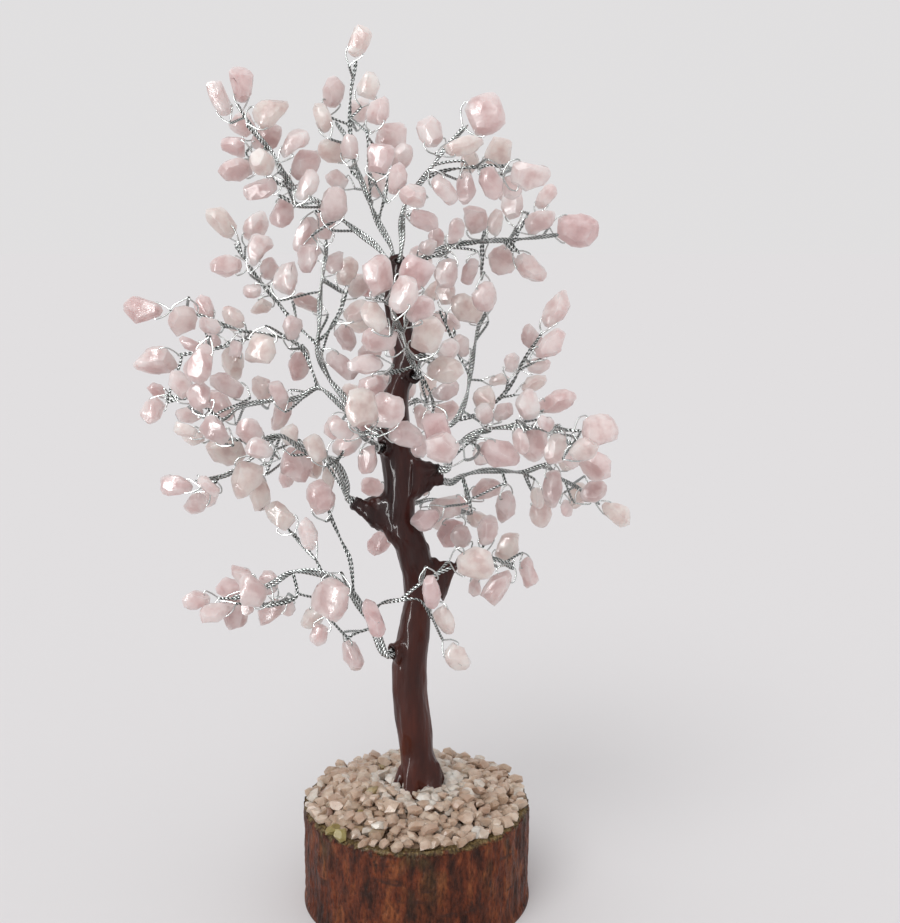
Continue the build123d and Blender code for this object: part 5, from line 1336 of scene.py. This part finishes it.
# Colours: a place along the pattern or tone, and the red, green and blue that a screen shows
QUARTZ_TONES = ((0.0, 217, 198, 197), (0.2, 234, 223, 221), (0.36, 212, 190, 190), (0.5, 228, 214, 212),
                (0.66, 206, 193, 192), (0.82, 236, 225, 220), (0.95, 219, 210, 205))
QUARTZ_MILK = ((0.36, 255, 255, 254), (0.5, 244, 238, 237), (0.62, 225, 211, 210))
CHIP_TONES = ((0.0, 120, 48, 44), (0.006, 206, 184, 166), (0.2, 232, 214, 197), (0.4, 192, 168, 146),
              (0.58, 236, 220, 204), (0.74, 210, 186, 168), (0.87, 216, 196, 178), (0.9, 242, 238, 232),
              (0.965, 232, 226, 216), (0.975, 172, 146, 116), (0.995, 172, 164, 100))
CHIP_CLOUD = ((0.34, 255, 252, 248), (0.66, 216, 197, 181))
TARNISH = ((0.38, 214, 218, 217), (0.72, 168, 173, 170))
# Painted shade in the grooves between the strands: the deeper a point lies, the darker
PAINTED_GROOVE_SHADE = ((0.06, 255, 255, 255), (0.18, 200, 202, 202), (0.32, 112, 115, 114), (0.5, 46, 49, 48))
LOWER_LACQUER = ((0.32, 50, 20, 14), (0.5, 68, 28, 19), (0.7, 88, 38, 24))
UPPER_LACQUER = ((0.32, 34, 14, 13), (0.5, 48, 20, 18), (0.7, 66, 29, 24))
# Dark brown that the lacquer turns to round the stub mouths
MOUTH_DARKENING_TONE = (22, 14, 14)
BARK_TONES = ((0.32, 58, 30, 19), (0.44, 96, 47, 27), (0.54, 120, 59, 33), (0.68, 146, 84, 48))
BARK_FIBRES = ((0.34, 128, 114, 106), (0.5, 214, 206, 200), (0.66, 255, 252, 248))
RIM_TONES = ((0.34, 58, 44, 26), (0.5, 98, 80, 48), (0.66, 138, 118, 78))
MOSS = (84, 74, 46)
WRINKLE = (58, 34, 26)
KNOT = (44, 28, 22)
GLUE_TONES = ((0.3, 128, 106, 88), (0.7, 168, 144, 122))
WOOD_RINGS = ((0.2, 206, 168, 122), (0.8, 170, 124, 82))
SAW_MARKS = ((0.3, 220, 210, 200), (0.7, 255, 255, 255))
STEEL_TONES = ((0.3, 150, 152, 156), (0.7, 186, 188, 192))

# Levels of the bark's masks along their patterns
MOSS_LEVELS = ((0.5, 0), (0.62, 0.75))
MOSS_AT_FOOT = 0.1
WRINKLE_LEVELS = ((0.33, 0.75), (0.41, 0))
KNOT_LEVELS = ((0.3, 0.8), (0.4, 0))


def rose_quartz(clouds):
    """Milky rose quartz: pale pink, dusty, cream and clear gems with cloudy veins."""
    material, tree, where, patches, grain = finish_of("rose_quartz", clouds)
    body = shades(tree, named(tree, "tone"), QUARTZ_TONES)
    return colour(material, blend(tree, MEDIUM, body, shades(tree, patches, QUARTZ_MILK), "MULTIPLY"))


def crushed_quartz(clouds):
    """Crushed quartz: cream, tan and pinkish chips with sugary faces, clear ones and a few stained."""
    material, tree, where, patches, grain = finish_of("crushed_quartz", clouds)
    body = shades(tree, named(tree, "tone"), CHIP_TONES)
    return colour(material, blend(tree, MEDIUM, body, shades(tree, patches, CHIP_CLOUD), "MULTIPLY"))


def silver_wire(clouds):
    """Bright craft wire with a little tarnish, and painted shade that darkens the grooves between the
    strands.
    """
    material, tree, where, patches, grain = finish_of("silver_wire", clouds)
    # Painted shade: the grooves between the strands made darker by their depth
    groove = shades(tree, named(tree, "groove"), PAINTED_GROOVE_SHADE)
    return colour(material, blend(tree, FULL, shades(tree, patches, TARNISH), groove, "MULTIPLY"))


def brown_lacquer(clouds):
    """Thick glossy paint with brush streaks, red-brown below, darker above, and darker round the stub
    mouths.
    """
    material, tree, where, patches, grain = finish_of("brown_lacquer", clouds)
    height = add(tree, "ShaderNodeSeparateXYZ", Vector=where).outputs["Z"]
    rise = part_of(tree, height, From_Min=RED_LOW, From_Max=RED_HIGH)
    body = blend(tree, rise, shades(tree, patches, LOWER_LACQUER), shades(tree, patches, UPPER_LACQUER))
    # Lacquer darkened round the stub mouths
    return colour(material, blend(tree, named(tree, "mouth_darkening"), body, linear(*MOUTH_DARKENING_TONE)))


def varnished_bark(clouds):
    """Red-brown varnished bark: dark fibres, olive moss, wrinkles, knots and a carved olive-brown rim."""
    material, tree, where, patches, grain = finish_of("varnished_bark", clouds)
    stains, specks = clouds_on(tree, clouds, where, *STAIN_PATTERN)
    folds = clouds_on(tree, clouds, where, *FOLD_PATTERN)[0]
    height = add(tree, "ShaderNodeSeparateXYZ", Vector=where).outputs["Z"]
    fibres = shades(tree, grain, BARK_FIBRES)
    bark = blend(tree, STRONG, shades(tree, patches, BARK_TONES), fibres, "MULTIPLY")
    upper = part_of(tree, height, From_Min=MOSS_LOW, From_Max=RIM_LOW, To_Min=MOSS_AT_FOOT)
    mossy = blend(tree, FULL, mask(tree, stains, MOSS_LEVELS), upper, "MULTIPLY")
    bark = blend(tree, mossy, bark, blend(tree, STRONG, linear(*MOSS), fibres, "MULTIPLY"))
    bark = blend(tree, mask(tree, folds, WRINKLE_LEVELS), bark, linear(*WRINKLE))
    bark = blend(tree, mask(tree, specks, KNOT_LEVELS), bark, linear(*KNOT))
    stray = add(tree, "ShaderNodeMath", {"operation": "MULTIPLY_ADD"})
    for socket, value in zip(stray.inputs, (specks, RIM_STRAY, height)):
        feed(tree, socket, value)
    edge = part_of(tree, stray.outputs["Value"], From_Min=RIM_LOW + RIM_STRAY / 2,
                   From_Max=RIM_HIGH + RIM_STRAY / 2)
    return colour(material, blend(tree, edge, bark, shades(tree, grain, RIM_TONES)))


def set_glue(clouds):
    """Clear craft glue, cloudy with trapped air."""
    material, tree, where, patches, grain = finish_of("set_glue", clouds)
    return colour(material, shades(tree, patches, GLUE_TONES))


def sawn_wood(clouds):
    """Pale sawn wood with growth rings and saw marks."""
    material, tree, where, patches, grain = finish_of("sawn_wood", clouds)
    rings = add(tree, "ShaderNodeTexWave", {"wave_type": "RINGS", "rings_direction": "Z"}, Vector=where,
                **RING_WAVE).outputs["Fac"]
    marks = shades(tree, grain, SAW_MARKS)
    return colour(material, blend(tree, MEDIUM, shades(tree, rings, WOOD_RINGS), marks, "MULTIPLY"))


def steel_core(clouds):
    """Drawn steel of the wire core, hidden inside the trunk."""
    material, tree, where, patches, grain = finish_of("steel_core", clouds)
    return colour(material, shades(tree, patches, STEEL_TONES))


def studio():
    """Pale floor, even light all round, a soft key light, lamps that only gloss shows, and the camera."""
    scene = bpy.context.scene
    bpy.ops.mesh.primitive_plane_add(size=FLOOR_SIZE, location=(0, 0, 0))
    floor = bpy.context.active_object
    floor.name = "floor"
    pale = bpy.data.materials.new("pale_floor")
    pale.use_nodes = True
    shader = pale.node_tree.nodes["Principled BSDF"]
    shader.inputs["Base Color"].default_value = PALE
    shader.inputs["Roughness"].default_value = FLOOR_ROUGHNESS
    shader.inputs["Specular IOR Level"].default_value = 0
    floor.data.materials.append(pale)
    scene.world = bpy.data.worlds.new("studio")
    scene.world.use_nodes = True
    scene.world.node_tree.nodes["Background"].inputs["Color"].default_value = PALE
    sun = bpy.data.lights.new("soft_key", "SUN")
    sun.energy = KEY_STRENGTH
    sun.angle = radians(KEY_SPREAD_DEGREES)
    hung(sun, (0, 0, 0), (radians(KEY_TILT_DEGREES), 0, radians(KEY_TURN_DEGREES)))
    for name, (width, height, power, place) in GLOSS_LAMPS.items():
        lamp = bpy.data.lights.new(name, "AREA")
        lamp.shape = "RECTANGLE"
        lamp.size, lamp.size_y = width, height
        lamp.energy = power
        hung(lamp, place, facing(Vector(place) - Vector((0, 0, TREE_RISE / 2)))).visible_diffuse = False
    lens = bpy.data.cameras.new("view")
    lens.sensor_width = SENSOR_WIDTH_MM
    lens.lens = SENSOR_WIDTH_MM * FOCUS_PIXELS / FRAME_HEIGHT_PIXELS
    lens.clip_start, lens.clip_end = NEAR_AND_FAR
    eye = (VIEW_ASIDE, -VIEW_DISTANCE, LOG_HEIGHT + VIEW_RISE)
    scene.camera = hung(lens, eye, (radians(90 - VIEW_PITCH_DEGREES), 0, 0))
    scene.view_settings.view_transform = "Standard"


def hung(item, place, turn):
    """Puts a lamp or a lens into the scene, at a place and a turn."""
    holder = bpy.data.objects.new(item.name, item)
    holder.location = place
    holder.rotation_euler = turn
    bpy.context.scene.collection.objects.link(holder)
    return holder


studio()
clouds = cloud_group()
quartz, wire_finish = rose_quartz(clouds), silver_wire(clouds)
chance = Random(SEED)
masters = {kind: gem_master(kind) for kind in GEM_SHARES}
for name, branch in BRANCH_PIXELS_AND_SHARES.items():
    branch_routes = routes(name, branch)
    gems = place_gems(name, branch, branch_routes)
    wires = wire_piece(name, branch_routes, gems)
    dress(wires, f"{name}_branch", "silver_wire", wire_finish, f"{name}_wires")
    stones = gem_piece(name, masters, gems, chance)
    dress(stones, f"{name}_branch", "rose_quartz", quartz, f"{name}_gems")
chips = chip_masters(chance)
chip_finish = crushed_quartz(clouds)
for number in range(1, len(CHIP_COUNTS) + 1):
    layer = chip_layer(number, chips, chance)
    dress(layer, "base_and_trunk", "quartz_chips", chip_finish, f"quartz_chips_{number}")
for master in list(masters.values()) + chips:
    bpy.data.objects.remove(master)
dress(trunk_piece(), "base_and_trunk", "lacquer", brown_lacquer(clouds), "trunk_coat")
dress(bark_piece(), "base_and_trunk", "bark", varnished_bark(clouds), "bark")
for node, finish in (("log_core", sawn_wood), ("glue_bed", set_glue), ("trunk_core", steel_core)):
    frame["nodes"][node].data.materials.clear()
    frame["nodes"][node].data.materials.append(finish(clouds))
